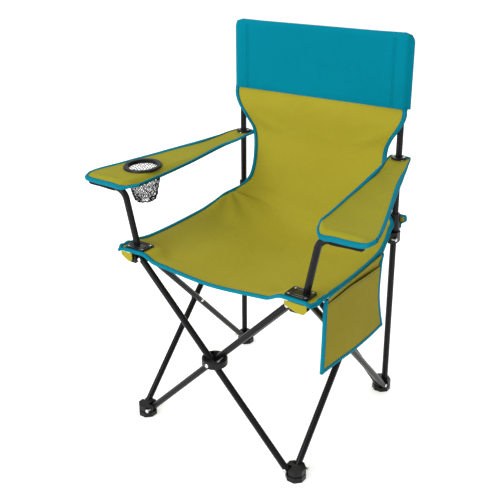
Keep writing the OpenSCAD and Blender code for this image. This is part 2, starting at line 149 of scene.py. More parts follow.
def even_curve(points: Sequence[Sequence[float]], count: int) -> Array:
    """Points spaced evenly by length along a smooth curve through given points."""
    fine = spline(points, np.linspace(0, len(points) - 1, 40 * len(points)))
    run = np.concatenate([[0], np.cumsum(np.linalg.norm(np.diff(fine, axis=0), axis=1))])
    want = np.linspace(0, run[-1], count)
    return np.stack([np.interp(want, run, fine[:, k]) for k in range(fine.shape[1])], axis=1)


def coons(front: Array, rear: Array, inner: Array, outer: Array) -> Array:
    """Fills a four-sided outline with a smooth grid.

    Args:
        front: Edge at the grid's first row, from inner to outer.
        rear: Edge at the grid's last row, from inner to outer.
        inner: Edge at the first column, from front to rear.
        outer: Edge at the last column, from front to rear.

    Returns:
        Grid of points, rows by columns.
    """
    rows, cols = len(inner), len(front)
    v = np.linspace(0, 1, rows)[:, None, None]
    u = np.linspace(0, 1, cols)[None, :, None]
    ruled_v = (1 - v) * front[None] + v * rear[None]
    ruled_u = (1 - u) * inner[:, None] + u * outer[:, None]
    corners = (
        (1 - u) * (1 - v) * front[0] + u * (1 - v) * front[-1] + (1 - u) * v * rear[0] + u * v * rear[-1]
    )
    return ruled_v + ruled_u - corners


def grid_normals(grid: Array, up: Vector) -> Array:
    """Unit normals of a grid, all on the side that up points to on average."""
    du = np.gradient(grid, axis=1)
    dv = np.gradient(grid, axis=0)
    n = unit(np.cross(du, dv))
    if float((n.reshape(-1, 3) @ np.array(up)).mean()) < 0:
        n = -n
    return n


def cloth_uv(grid: Array) -> Array:
    """Cloth coordinates of a grid in metres, measured along its rows and columns."""
    across = np.linalg.norm(np.diff(grid, axis=1), axis=2)
    along = np.linalg.norm(np.diff(grid, axis=0), axis=2)
    u = np.concatenate([np.zeros((len(grid), 1)), np.cumsum(across, axis=1)], axis=1)
    u -= u.mean(axis=1, keepdims=True)
    v = np.concatenate([np.zeros((1, grid.shape[1])), np.cumsum(along, axis=0)], axis=0)
    return np.stack([u, v], axis=2) * MM


def side_line(grid: Array, normals: Array, which: str) -> tuple[Array, Array, Array]:
    """One side of a grid: its points, the way into the cloth, and its normals.

    Args:
        grid: Middle surface.
        normals: Its normals.
        which: front, rear, inner or outer.

    Returns:
        Points, inward directions and normals along that side.
    """
    line, inside, up = {
        "front": (grid[0], grid[1], normals[0]),
        "rear": (grid[-1], grid[-2], normals[-1]),
        "inner": (grid[:, 0], grid[:, 1], normals[:, 0]),
        "outer": (grid[:, -1], grid[:, -2], normals[:, -1]),
    }[which]
    return line, inside - line, up


def stitch_line(grid: Array, normals: Array, which: str, inset: float) -> Array:
    """Stitch line on the tape, a little in from one side of a grid."""
    line, inward, up = side_line(grid, normals, which)
    return line + unit(inward) * inset + up * (CLOTH_T / 2 + TAPE_LIFT + 0.15)


def mirrored(points: Array, side: Side) -> Array:
    """Copies right-hand points to a side."""
    out = np.array(points, float)
    out[..., 0] *= side.value
    return out


# ---------- mesh building ----------


@dataclass
class SewnMesh:
    """Collects the sheets and tapes of one sewn piece, then makes its object."""

    name: str
    verts: list[Array] = field(default_factory=list)
    normals: list[Array] = field(default_factory=list)
    uvs: list[Array] = field(default_factory=list)
    faces: list[tuple[int, ...]] = field(default_factory=list)
    layers: list[int] = field(default_factory=list)
    count: int = 0

    def _add(self, verts: Array, normals: Array, uvs: Array) -> int:
        """Adds points and returns the index of the first."""
        start = self.count
        self.verts.append(verts.reshape(-1, 3))
        self.normals.append(normals.reshape(-1, 3))
        self.uvs.append(uvs.reshape(-1, 2))
        self.count += len(self.verts[-1])
        return start

    def sheet(
        self,
        grid: Array,
        normals: Array,
        uv: Array,
        thick: float = CLOTH_T,
        layer: Layer = Layer.CLOTH,
        keep: Array | None = None,
    ) -> None:
        """Adds a closed thin sheet over a grid.

        Args:
            grid: Middle surface, rows by columns.
            normals: Unit normals of the upper face.
            uv: Cloth coordinates.
            thick: Thickness in millimetres.
            layer: Material layer.
            keep: Which cells exist, rows - 1 by columns - 1.
        """
        rows, cols = grid.shape[:2]
        if keep is None:
            keep = np.ones((rows - 1, cols - 1), bool)
        for i, j in ((0, 0), (rows // 2, cols // 2)):
            turn = np.cross(grid[i, j + 1] - grid[i, j], grid[i + 1, j] - grid[i, j])
            facing = float(np.dot(turn, normals[i, j]))
            if abs(facing) >= 1e-6:
                break
        flip = facing < 0
        top = self._add(grid + normals * thick / 2, normals, uv)
        low = self._add(grid - normals * thick / 2, -normals, uv)
        edges: dict[tuple[int, int], int] = {}
        for i, j in zip(*np.nonzero(keep)):
            q = [i * cols + j, i * cols + j + 1, (i + 1) * cols + j + 1, (i + 1) * cols + j]
            if flip:
                q.reverse()
            self._face([top + k for k in q], layer)
            self._face([low + k for k in reversed(q)], layer)
            for m in range(4):
                edges[(q[m], q[(m + 1) % 4])] = 1
        for m, n in edges:
            if (n, m) not in edges:
                self._face([top + n, top + m, low + m, low + n], layer)

    def _face(self, corners: list[int], layer: Layer) -> None:
        """Adds one face."""
        self.faces.append(tuple(int(k) for k in corners))
        self.layers.append(layer.value)

    def loft(self, rings: Array, centres: Array, layer: Layer, closed: bool = False) -> None:
        """Adds a tube through rings of points.

        Args:
            rings: Stations by ring points by 3.
            centres: Middle of each ring.
            layer: Material layer.
            closed: Whether the last ring joins the first.
        """
        count, around = rings.shape[:2]
        normals = unit(rings - centres[:, None])
        run = np.concatenate([[0], np.cumsum(np.linalg.norm(np.diff(centres, axis=0), axis=1))])
        uv = np.stack(np.broadcast_arrays(run[:, None] * MM, np.arange(around)[None] * 0.002), axis=2)
        start = self._add(rings, normals, uv)
        for i in range(count if closed else count - 1):
            this, after = start + i * around, start + (i + 1) % count * around
            for j in range(around):
                m = (j + 1) % around
                self._face([this + j, this + m, after + m, after + j], layer)
        if not closed:
            self._face([start + j for j in range(around)][::-1], layer)
            self._face([start + (count - 1) * around + j for j in range(around)], layer)

    def tape(
        self,
        edge: Array,
        inward: Array,
        normals: Array,
        width: float = TAPE_W,
        lift: float = TAPE_LIFT,
        closed: bool = False,
    ) -> None:
        """Adds binding tape folded over an edge.

        Args:
            edge: Points along the cloth's edge.
            inward: Directions into the cloth at those points.
            normals: Upper normals there.
            width: Tape width on each face.
            lift: How far the tape stands off the cloth's face.
            closed: Whether the edge is a loop.
        """
        inward = inward - normals * np.sum(inward * normals, axis=1, keepdims=True)
        inward = unit(inward)
        half = CLOTH_T / 2 + lift
        shape = [
            (width, 0.62 * half), (width * 0.9, half), (0.6, half * 1.15), (-0.7, half * 0.6),
            (-0.7, -half * 0.6), (0.6, -half * 1.15), (width * 0.9, -half), (width, -0.62 * half),
        ]
        rings = np.stack([edge + inward * a + normals * b for a, b in shape], axis=1)
        centres = edge + inward * width * 0.45
        tangent = edge[1] - edge[0]
        first = np.cross(rings[0, 1] - rings[0, 0], rings[0, 2] - rings[0, 1])
        if float(np.dot(first, tangent)) < 0:
            rings = rings[:, ::-1]
        self.loft(rings, centres, Layer.TAPE, closed)

    def edge_tape(self, grid: Array, normals: Array, which: str, width: float = TAPE_W) -> None:
        """Binds one side of a grid: front, rear, inner or outer."""
        self.tape(*side_line(grid, normals, which), width)

    def make(self, materials: Sequence[bpy.types.Material]) -> bpy.types.Object:
        """Makes the finished object, in metres, at the origin.

        Args:
            materials: Cloth material, then tape material.

        Returns:
            The object, linked to the scene.
        """
        mesh = bpy.data.meshes.new(self.name)
        mesh.from_pydata((np.vstack(self.verts) * MM).tolist(), [], self.faces)
        mesh.polygons.foreach_set("material_index", self.layers)
        uv = np.vstack(self.uvs)
        layer = mesh.uv_layers.new(name="cloth")
        index = np.zeros(len(mesh.loops), int)
        mesh.loops.foreach_get("vertex_index", index)
        layer.data.foreach_set("uv", uv[index].astype(np.float32).ravel())
        for material in materials:
            mesh.materials.append(material)
        mesh.shade_smooth()
        mesh.normals_split_custom_set_from_vertices(np.vstack(self.normals).tolist())
        mesh.update()
        piece = bpy.data.objects.new(self.name, mesh)
        bpy.context.scene.collection.objects.link(piece)
        return piece


# ---------- shader groups ----------


def group_sockets(tree: bpy.types.NodeTree, inputs: dict[str, tuple[str, float]], outputs: dict[str, str]) -> None:
    """Declares a group's named inputs, with defaults, and outputs."""
    for name, (kind, default) in inputs.items():
        socket = tree.interface.new_socket(name=name, in_out="INPUT", socket_type=kind)
        if kind == "NodeSocketFloat":
            socket.default_value = default
    for name, kind in outputs.items():
        tree.interface.new_socket(name=name, in_out="OUTPUT", socket_type=kind)


def float_input(tree: bpy.types.NodeTree, name: str, default: float) -> str:
    """Declares a number input of a Geometry Nodes tree and returns its identifier."""
    socket = tree.interface.new_socket(name=name, in_out="INPUT", socket_type="NodeSocketFloat")
    socket.default_value = default
    return socket.identifier


@dataclass
class Wiring:
    """Short-hand for building a node tree."""

    tree: bpy.types.NodeTree

    def add(self, kind: str, **settings: object) -> bpy.types.Node:
        """Adds a node and sets its properties or sockets by name."""
        node = self.tree.nodes.new(kind)
        for key, value in settings.items():
            if hasattr(node, key):
                setattr(node, key, value)
            else:
                node.inputs[key.replace("_", " ")].default_value = value
        return node

    def join(self, source: bpy.types.NodeSocket, target: bpy.types.NodeSocket) -> None:
        """Links two sockets."""
        self.tree.links.new(source, target)

    def math(self, operation: str, a: object, b: object = 0.0, clamp: bool = False) -> bpy.types.NodeSocket:
        """Adds a Math node on sockets or numbers and returns its result."""
        node = self.tree.nodes.new("ShaderNodeMath")
        node.operation = operation
        node.use_clamp = clamp
        for slot, value in zip(node.inputs, (a, b)):
            if isinstance(value, bpy.types.NodeSocket):
                self.join(value, slot)
            else:
                slot.default_value = value
        return node.outputs[0]

    def mix(self, amount: object, a: object, b: object) -> bpy.types.NodeSocket:
        """Mixes two colours, each a socket or a value, and returns the result."""
        node = self.tree.nodes.new("ShaderNodeMix")
        node.data_type = "RGBA"
        for slot, value in zip((node.inputs[0], node.inputs[6], node.inputs[7]), (amount, a, b)):
            if isinstance(value, bpy.types.NodeSocket):
                self.join(value, slot)
            else:
                slot.default_value = value
        return node.outputs[2]

    def close(self, source: bpy.types.NodeSocket, material: bpy.types.Material, end: bpy.types.Node) -> None:
        """Ends a Geometry Nodes tree: makes instances real and sets their material."""
        real = self.add("GeometryNodeRealizeInstances")
        self.join(source, real.inputs[0])
        dress = self.add("GeometryNodeSetMaterial")
        dress.inputs["Material"].default_value = material
        self.join(real.outputs[0], dress.inputs[0])
        self.join(dress.outputs[0], end.inputs[0])


class ShaderParts:
    """The shader node groups shared by the finishes."""

    def __init__(self) -> None:
        """Builds every group once."""
        self.weave = self._weave()
        self.mottle = self._mottle()
        self.moulding = self._moulding()

    @staticmethod
    def _weave() -> bpy.types.NodeTree:
        """Plain weave: thread height and a light and dark mask from cloth coordinates."""
        tree = bpy.data.node_groups.new("plain_weave", "ShaderNodeTree")
        group_sockets(
            tree,
            {"Place": ("NodeSocketVector", 0), "Threads": ("NodeSocketFloat", 900.0), "Slub": ("NodeSocketFloat", 0.35)},
            {"Height": "NodeSocketFloat", "Shade": "NodeSocketFloat"},
        )
        w = Wiring(tree)
        start, end = w.add("NodeGroupInput"), w.add("NodeGroupOutput")
        split = w.add("ShaderNodeSeparateXYZ")
        w.join(start.outputs["Place"], split.inputs[0])
        turns = w.math("MULTIPLY", start.outputs["Threads"], 2 * math.pi)
        warp = w.math("SINE", w.math("MULTIPLY", split.outputs[0], turns))
        weft = w.math("SINE", w.math("MULTIPLY", split.outputs[1], turns))
        crossing = w.math("MULTIPLY", warp, weft)
        slub = w.add("ShaderNodeTexNoise", Scale=140.0, Detail=2.0, Roughness=0.6)
        stretch = w.add("ShaderNodeMapping")
        stretch.inputs["Scale"].default_value = (1.0, 9.0, 1.0)
        w.join(start.outputs["Place"], stretch.inputs["Vector"])
        w.join(stretch.outputs[0], slub.inputs["Vector"])
        uneven = w.math("MULTIPLY", w.math("SUBTRACT", slub.outputs[0], 0.5), start.outputs["Slub"])
        height = w.math("ADD", w.math("MULTIPLY", crossing, 0.5), uneven)
        w.join(height, end.inputs["Height"])
        w.join(w.math("ADD", w.math("MULTIPLY", height, 0.5), 0.5, clamp=True), end.inputs["Shade"])
        return tree

    @staticmethod
    def _mottle() -> bpy.types.NodeTree:
        """Broad colour drift, soft creases and dust for cloth and metal."""
        tree = bpy.data.node_groups.new("soft_mottle", "ShaderNodeTree")
        group_sockets(
            tree,
            {"Place": ("NodeSocketVector", 0), "Size": ("NodeSocketFloat", 7.0)},
            {"Drift": "NodeSocketFloat", "Crease": "NodeSocketFloat", "Dust": "NodeSocketFloat"},
        )
        w = Wiring(tree)
        start, end = w.add("NodeGroupInput"), w.add("NodeGroupOutput")
        drift = w.add("ShaderNodeTexNoise", Detail=3.0, Roughness=0.55)
        crease = w.add("ShaderNodeTexNoise", Detail=4.0, Roughness=0.6, Distortion=0.9)
        dust = w.add("ShaderNodeTexNoise", Detail=5.0, Roughness=0.75)
        for node, factor in ((drift, 1.0), (crease, 3.2), (dust, 24.0)):
            w.join(start.outputs["Place"], node.inputs["Vector"])
            w.join(w.math("MULTIPLY", start.outputs["Size"], factor), node.inputs["Scale"])
        w.join(drift.outputs[0], end.inputs["Drift"])
        w.join(crease.outputs[0], end.inputs["Crease"])
        w.join(w.math("MULTIPLY", w.math("SUBTRACT", dust.outputs[0], 0.56), 6.0, clamp=True), end.inputs["Dust"])
        return tree

    @staticmethod
    def _moulding() -> bpy.types.NodeTree:
        """Fine spark-eroded texture of moulded plastic and powder coat."""
        tree = bpy.data.node_groups.new("fine_grain", "ShaderNodeTree")
        group_sockets(
            tree,
            {"Place": ("NodeSocketVector", 0), "Grain": ("NodeSocketFloat", 900.0)},
            {"Height": "NodeSocketFloat", "Speck": "NodeSocketFloat"},
        )
        w = Wiring(tree)
        start, end = w.add("NodeGroupInput"), w.add("NodeGroupOutput")
        cells = w.add("ShaderNodeTexVoronoi")
        noise = w.add("ShaderNodeTexNoise", Detail=2.0)
        for node, factor in ((cells, 1.0), (noise, 0.35)):
            w.join(start.outputs["Place"], node.inputs["Vector"])
            w.join(w.math("MULTIPLY", start.outputs["Grain"], factor), node.inputs["Scale"])
        w.join(w.math("ADD", w.math("MULTIPLY", cells.outputs["Distance"], 0.6), noise.outputs[0]), end.inputs["Height"])
        w.join(w.math("MULTIPLY", w.math("SUBTRACT", noise.outputs[0], 0.5), 2.0), end.inputs["Speck"])
        return tree


# ---------- finishes ----------

Colour = tuple[float, float, float, float]


def new_material(name: str) -> tuple[bpy.types.Material, Wiring, bpy.types.Node]:
    """Makes a node material and returns it with its wiring and its Principled node."""
    material = bpy.data.materials.new(name)
    material.use_nodes = True
    wiring = Wiring(material.node_tree)
    return material, wiring, material.node_tree.nodes["Principled BSDF"]


def place_group(wiring: Wiring, tree: bpy.types.NodeTree, place: bpy.types.NodeSocket, **values: float) -> bpy.types.Node:
    """Puts a shared group into a material and sets its number inputs."""
    node = wiring.tree.nodes.new("ShaderNodeGroup")
    node.node_tree = tree
    wiring.join(place, node.inputs["Place"])
    for key, value in values.items():
        node.inputs[key].default_value = value
    return node


@dataclass(frozen=True)
class Cloth:
    """Woven polyester with a soft sheen."""

    name: str
    light: Colour
    dark: Colour
    threads: float = 900.0
    weave_depth: float = 0.25
    crease_depth: float = 0.5
    sheen: float = 0.02
    gloss: float = 0.06
    dust: float = 0.03

    def build(self, parts: ShaderParts) -> bpy.types.Material:
        """Makes the material from the shared groups."""
        material, w, surface = new_material(self.name)
        coordinates = w.add("ShaderNodeTexCoord")
        weave = place_group(w, parts.weave, coordinates.outputs["UV"], Threads=self.threads)
        mottle = place_group(w, parts.mottle, coordinates.outputs["Object"])
        shade = w.math("MULTIPLY", weave.outputs["Shade"], 0.3)
        tone = w.math("ADD", w.math("MULTIPLY", mottle.outputs["Drift"], 0.7), shade)
        colour = w.mix(tone, self.dark, self.light)
        dusty = w.mix(w.math("MULTIPLY", mottle.outputs["Dust"], self.dust), colour, (0.62, 0.6, 0.5, 1.0))
        w.join(dusty, surface.inputs["Base Color"])
        w.join(w.math("ADD", w.math("MULTIPLY", weave.outputs["Shade"], 0.12), 0.66), surface.inputs["Roughness"])
        fine = w.add("ShaderNodeBump", Strength=self.weave_depth, Distance=0.0004)
        w.join(weave.outputs["Height"], fine.inputs["Height"])
        broad = w.add("ShaderNodeBump", Strength=self.crease_depth, Distance=0.004)
        w.join(mottle.outputs["Crease"], broad.inputs["Height"])
        w.join(fine.outputs[0], broad.inputs["Normal"])
        w.join(broad.outputs[0], surface.inputs["Normal"])
        surface.inputs["Sheen Weight"].default_value = self.sheen
        surface.inputs["Sheen Roughness"].default_value = 0.45
        surface.inputs["Specular IOR Level"].default_value = self.gloss
        return material


@dataclass(frozen=True)
class Coat:
    """Powder coat, moulded plastic or net cord: a dark finish with a fine grain."""

    name: str
    base: Colour
    wear: Colour
    rough: float
    grain: float = 900.0
    depth: float = 0.15
    metal: float = 0.0
    gloss: float = 0.3

    def build(self, parts: ShaderParts) -> bpy.types.Material:
        """Makes the material from the shared groups."""
        material, w, surface = new_material(self.name)
        coordinates = w.add("ShaderNodeTexCoord")
        grain = place_group(w, parts.moulding, coordinates.outputs["Object"], Grain=self.grain)
        mottle = place_group(w, parts.mottle, coordinates.outputs["Object"], Size=16.0)
        dust = w.math("MULTIPLY", mottle.outputs["Dust"], 0.25)
        tone = w.math("ADD", w.math("MULTIPLY", mottle.outputs["Drift"], 0.35), dust)
        w.join(w.mix(tone, self.base, self.wear), surface.inputs["Base Color"])
        uneven = w.math("MULTIPLY", w.math("SUBTRACT", mottle.outputs["Crease"], 0.5), 0.25)
        w.join(w.math("ADD", uneven, self.rough), surface.inputs["Roughness"])
        bump = w.add("ShaderNodeBump", Strength=self.depth, Distance=0.0003)
        w.join(grain.outputs["Height"], bump.inputs["Height"])
        w.join(bump.outputs[0], surface.inputs["Normal"])
        surface.inputs["Metallic"].default_value = self.metal
        surface.inputs["Specular IOR Level"].default_value = self.gloss
        return material


@dataclass
class Finishes:
    """Every finish of the chair, built once."""

    parts: ShaderParts = field(default_factory=ShaderParts)

    def __post_init__(self) -> None:
        """Builds the materials."""
        parts = self.parts
        self.olive = Cloth("olive_cloth", (0.352, 0.308, 0.026, 1), (0.276, 0.236, 0.014, 1)).build(parts)
        # Armrest olive: a darker copy of the same olive cloth, painted shade on the armrests.
        self.arm_olive = Cloth("olive_arm_cloth", (0.287, 0.264, 0.02, 1), (0.225, 0.203, 0.011, 1)).build(parts)
        # Pocket olive: a darker copy of the same olive cloth, painted shade on the pocket's outward side.
        self.pocket_olive = Cloth("olive_pocket_cloth", (0.275, 0.23, 0.014, 1), (0.215, 0.175, 0.008, 1)).build(parts)
        # Black cloth for the tube pocket: a painted shadow, so the strip under the armrest's front tape reads as
        # shade.
        self.painted_shadow_cloth = Cloth(
            "black_lining", (0.012, 0.012, 0.013, 1), (0.006, 0.006, 0.007, 1), gloss=0.05, dust=0.0
        ).build(parts)
        self.teal = Cloth(
            "teal_cloth", (0.0, 0.192, 0.27, 1), (0.0, 0.148, 0.21, 1), sheen=0.0, gloss=0.02, dust=0.004
        ).build(parts)
        self.tape = Cloth(
            "teal_tape", (0.0, 0.2, 0.28, 1), (0.0, 0.15, 0.215, 1), threads=650.0, weave_depth=0.5, sheen=0.0
        ).build(parts)
        self.thread = Cloth(
            "teal_thread", (0.0, 0.195, 0.275, 1), (0.0, 0.15, 0.215, 1), threads=1800.0, gloss=0.05
        ).build(parts)
        self.powder = Coat("black_powder_coat", (0.003, 0.003, 0.004, 1), (0.012, 0.012, 0.014, 1), 0.22, gloss=0.17).build(parts)
        moulded = (0.004, 0.004, 0.005, 1), (0.014, 0.014, 0.016, 1)
        self.plastic = Coat("black_moulding", *moulded, 0.36, grain=600.0, depth=0.3, gloss=0.2).build(parts)
        self.plate = Coat("glossy_black_plate", *moulded, 0.16, grain=400.0, depth=0.12, gloss=0.55).build(parts)
        self.zinc = Coat(
            "bright_zinc", (0.6, 0.6, 0.61, 1), (0.82, 0.82, 0.84, 1), 0.26, depth=0.08, metal=1.0, gloss=0.5
        ).build(parts)
        self.net = Coat(
            "black_net_cord", (0.005, 0.005, 0.006, 1), (0.02, 0.02, 0.022, 1), 0.6, grain=1500.0, gloss=0.15
        ).build(parts)

    @property
    def sewn(self) -> list[bpy.types.Material]:
        """Materials of a piece in the main cloth."""
        return [self.olive, self.tape]

    @property
    def sewn_arm_painted_shade(self) -> list[bpy.types.Material]:
        """Materials of an armrest: a darker copy of the olive cloth as painted shade, and the tape."""
        return [self.arm_olive, self.tape]

    @property
    def sewn_pocket(self) -> list[bpy.types.Material]:
        """Materials of the side pocket: a darker copy of the olive cloth as painted shade, and the tape."""
        return [self.pocket_olive, self.tape]

    @property
    def sewn_teal(self) -> list[bpy.types.Material]:
        """Materials of a piece in the header cloth."""
        return [self.teal, self.tape]


# ---------- geometry nodes ----------


class StitchTree:
    """Geometry Nodes tree that lays thread stitches along a path."""

    def __init__(self, thread: bpy.types.Material) -> None:
        """Builds the tree with the given thread material."""
        tree = bpy.data.node_groups.new("stitch_run", "GeometryNodeTree")
        tree.interface.new_socket(name="Path", in_out="INPUT", socket_type="NodeSocketGeometry")
        self.inputs: dict[str, str] = {}
        for name, value in (("Pitch", 0.0042), ("Length", 0.0031), ("Thickness", 0.0007)):
            self.inputs[name] = float_input(tree, name, value)
        tree.interface.new_socket(name="Stitches", in_out="OUTPUT", socket_type="NodeSocketGeometry")
        w = Wiring(tree)
        start, end = w.add("NodeGroupInput"), w.add("NodeGroupOutput")
        curve = w.add("GeometryNodeMeshToCurve")
        w.join(start.outputs["Path"], curve.inputs["Mesh"])
        points = w.add("GeometryNodeCurveToPoints", mode="LENGTH")
        w.join(curve.outputs[0], points.inputs["Curve"])
        w.join(start.outputs["Pitch"], points.inputs["Length"])
        stitch = w.add("GeometryNodeMeshCylinder", Vertices=6, Radius=0.5, Depth=1.0)
        scale = w.add("ShaderNodeCombineXYZ")
        w.join(start.outputs["Thickness"], scale.inputs[0])
        w.join(start.outputs["Thickness"], scale.inputs[1])
        w.join(start.outputs["Length"], scale.inputs[2])
        place = w.add("GeometryNodeInstanceOnPoints")
        w.join(points.outputs["Points"], place.inputs["Points"])
        w.join(stitch.outputs["Mesh"], place.inputs["Instance"])
        w.join(points.outputs["Rotation"], place.inputs["Rotation"])
        w.join(scale.outputs[0], place.inputs["Scale"])
        w.close(place.outputs[0], thread, end)
        self.tree = tree

    def run(self, name: str, paths: Sequence[Array], pitch: float = 4.2) -> bpy.types.Object:
        """Lays stitches along paths.

        Args:
            name: Name of the piece.
            paths: Lines of points in millimetres.
            pitch: Distance between stitches in millimetres.

        Returns:
            A plain mesh object.
        """
        verts, edges = [], []
        for path in paths:
            start = len(verts)
            verts += (np.asarray(path) * MM).tolist()
            edges += [(start + i, start + i + 1) for i in range(len(path) - 1)]
        mesh = bpy.data.meshes.new(name)
        mesh.from_pydata(verts, edges, [])
        return bake_nodes(name, mesh, self.tree, {self.inputs["Pitch"]: pitch * MM})


class NetTree:
    """Geometry Nodes tree that turns the edges of a mesh into net cord."""

    def __init__(self, cord: bpy.types.Material) -> None:
        """Builds the tree with the given cord material."""
        tree = bpy.data.node_groups.new("net_cord", "GeometryNodeTree")
        tree.interface.new_socket(name="Lines", in_out="INPUT", socket_type="NodeSocketGeometry")
        self.radius = float_input(tree, "Cord radius", 0.0005)
        self.slack = float_input(tree, "Slack", 0.0012)
        tree.interface.new_socket(name="Net", in_out="OUTPUT", socket_type="NodeSocketGeometry")
        w = Wiring(tree)
        start, end = w.add("NodeGroupInput"), w.add("NodeGroupOutput")
        random = w.add("FunctionNodeRandomValue", data_type="FLOAT_VECTOR")
        random.inputs["Min"].default_value = (-1.0, -1.0, -1.0)
        random.inputs["Max"].default_value = (1.0, 1.0, 1.0)
        random.inputs["Seed"].default_value = SEED
        shift = w.add("ShaderNodeVectorMath", operation="SCALE")
        w.join(random.outputs[0], shift.inputs[0])
        w.join(start.outputs["Slack"], shift.inputs["Scale"])
        move = w.add("GeometryNodeSetPosition")
        w.join(start.outputs["Lines"], move.inputs["Geometry"])
        w.join(shift.outputs[0], move.inputs["Offset"])
        curve = w.add("GeometryNodeMeshToCurve")
        w.join(move.outputs[0], curve.inputs["Mesh"])
        ring = w.add("GeometryNodeCurvePrimitiveCircle", Resolution=4)
        w.join(start.outputs["Cord radius"], ring.inputs["Radius"])
        tube = w.add("GeometryNodeCurveToMesh", Fill_Caps=True)
        w.join(curve.outputs[0], tube.inputs["Curve"])
        w.join(ring.outputs[0], tube.inputs["Profile Curve"])
        w.close(tube.outputs[0], cord, end)
        self.tree = tree


def bake_nodes(
    name: str, mesh: bpy.types.Mesh, tree: bpy.types.NodeTree, values: dict[str, float]
) -> bpy.types.Object:
    """Runs a Geometry Nodes tree on a mesh and keeps the result as a plain mesh.

    Args:
        name: Name of the finished object.
        mesh: The mesh the tree starts from.
        tree: The tree.
        values: Modifier inputs by socket identifier.

    Returns:
        The finished object.
    """
    piece = bpy.data.objects.new(name, mesh)
    bpy.context.scene.collection.objects.link(piece)
    modifier = piece.modifiers.new("nodes", "NODES")
    modifier.node_group = tree
    for key, value in values.items():
        modifier[key] = value
    bpy.context.view_layer.update()
    evaluated = piece.evaluated_get(bpy.context.evaluated_depsgraph_get())
    baked = bpy.data.meshes.new_from_object(evaluated)
    piece.modifiers.remove(modifier)
    piece.data = baked
    baked.name = name
    return piece


# ---------- how pieces go with the frame ----------


@dataclass(frozen=True)
class Fold:
    """The body a piece rides on, and the axis, anchor and kept share of its crumple as the chair folds; no crumple is
    applied here.
    """

    body: str
    axis: tuple[float, float, float] | None = None
    anchor: tuple[float, float, float] = (0.0, 0.0, 0.0)
    keep: float = 1.0

    def fit(self, piece: bpy.types.Object, slot: str, *nodes: str) -> bpy.types.Object:
        """Fits a finished piece to its body.

        Args:
            piece: The finished object.
            slot: Material slot of the record; not used.
            nodes: Nodes of the frame that the piece stands for.

        Returns:
            The same object.
        """
        if nodes:
            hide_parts(*nodes)
        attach(piece, self.body)
        if self.axis is not None:
            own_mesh(piece)
        LOG.info("%s on %s: %d faces", piece.name, self.body, len(piece.data.polygons))
        return piece


FRONT_LINE = (0.0, -0.215, 0.0)
SIDE_KEEP = 0.186
ARM_KEEP = 0.33
CUP_ARM_KEEP = 0.05
BACK_FOLD = Fold("rear_right", (1, 0, 0), (POST_X * MM, 0, 0), 0.195)


def declare_sheet(grid: Array) -> None:
    """Measures a sewn piece's cloth coordinates along its own surface; the result is not kept.

    Args:
        grid: Its middle surface in millimetres.
    """
    uv = cloth_uv(grid)


# ---------- seat and back ----------


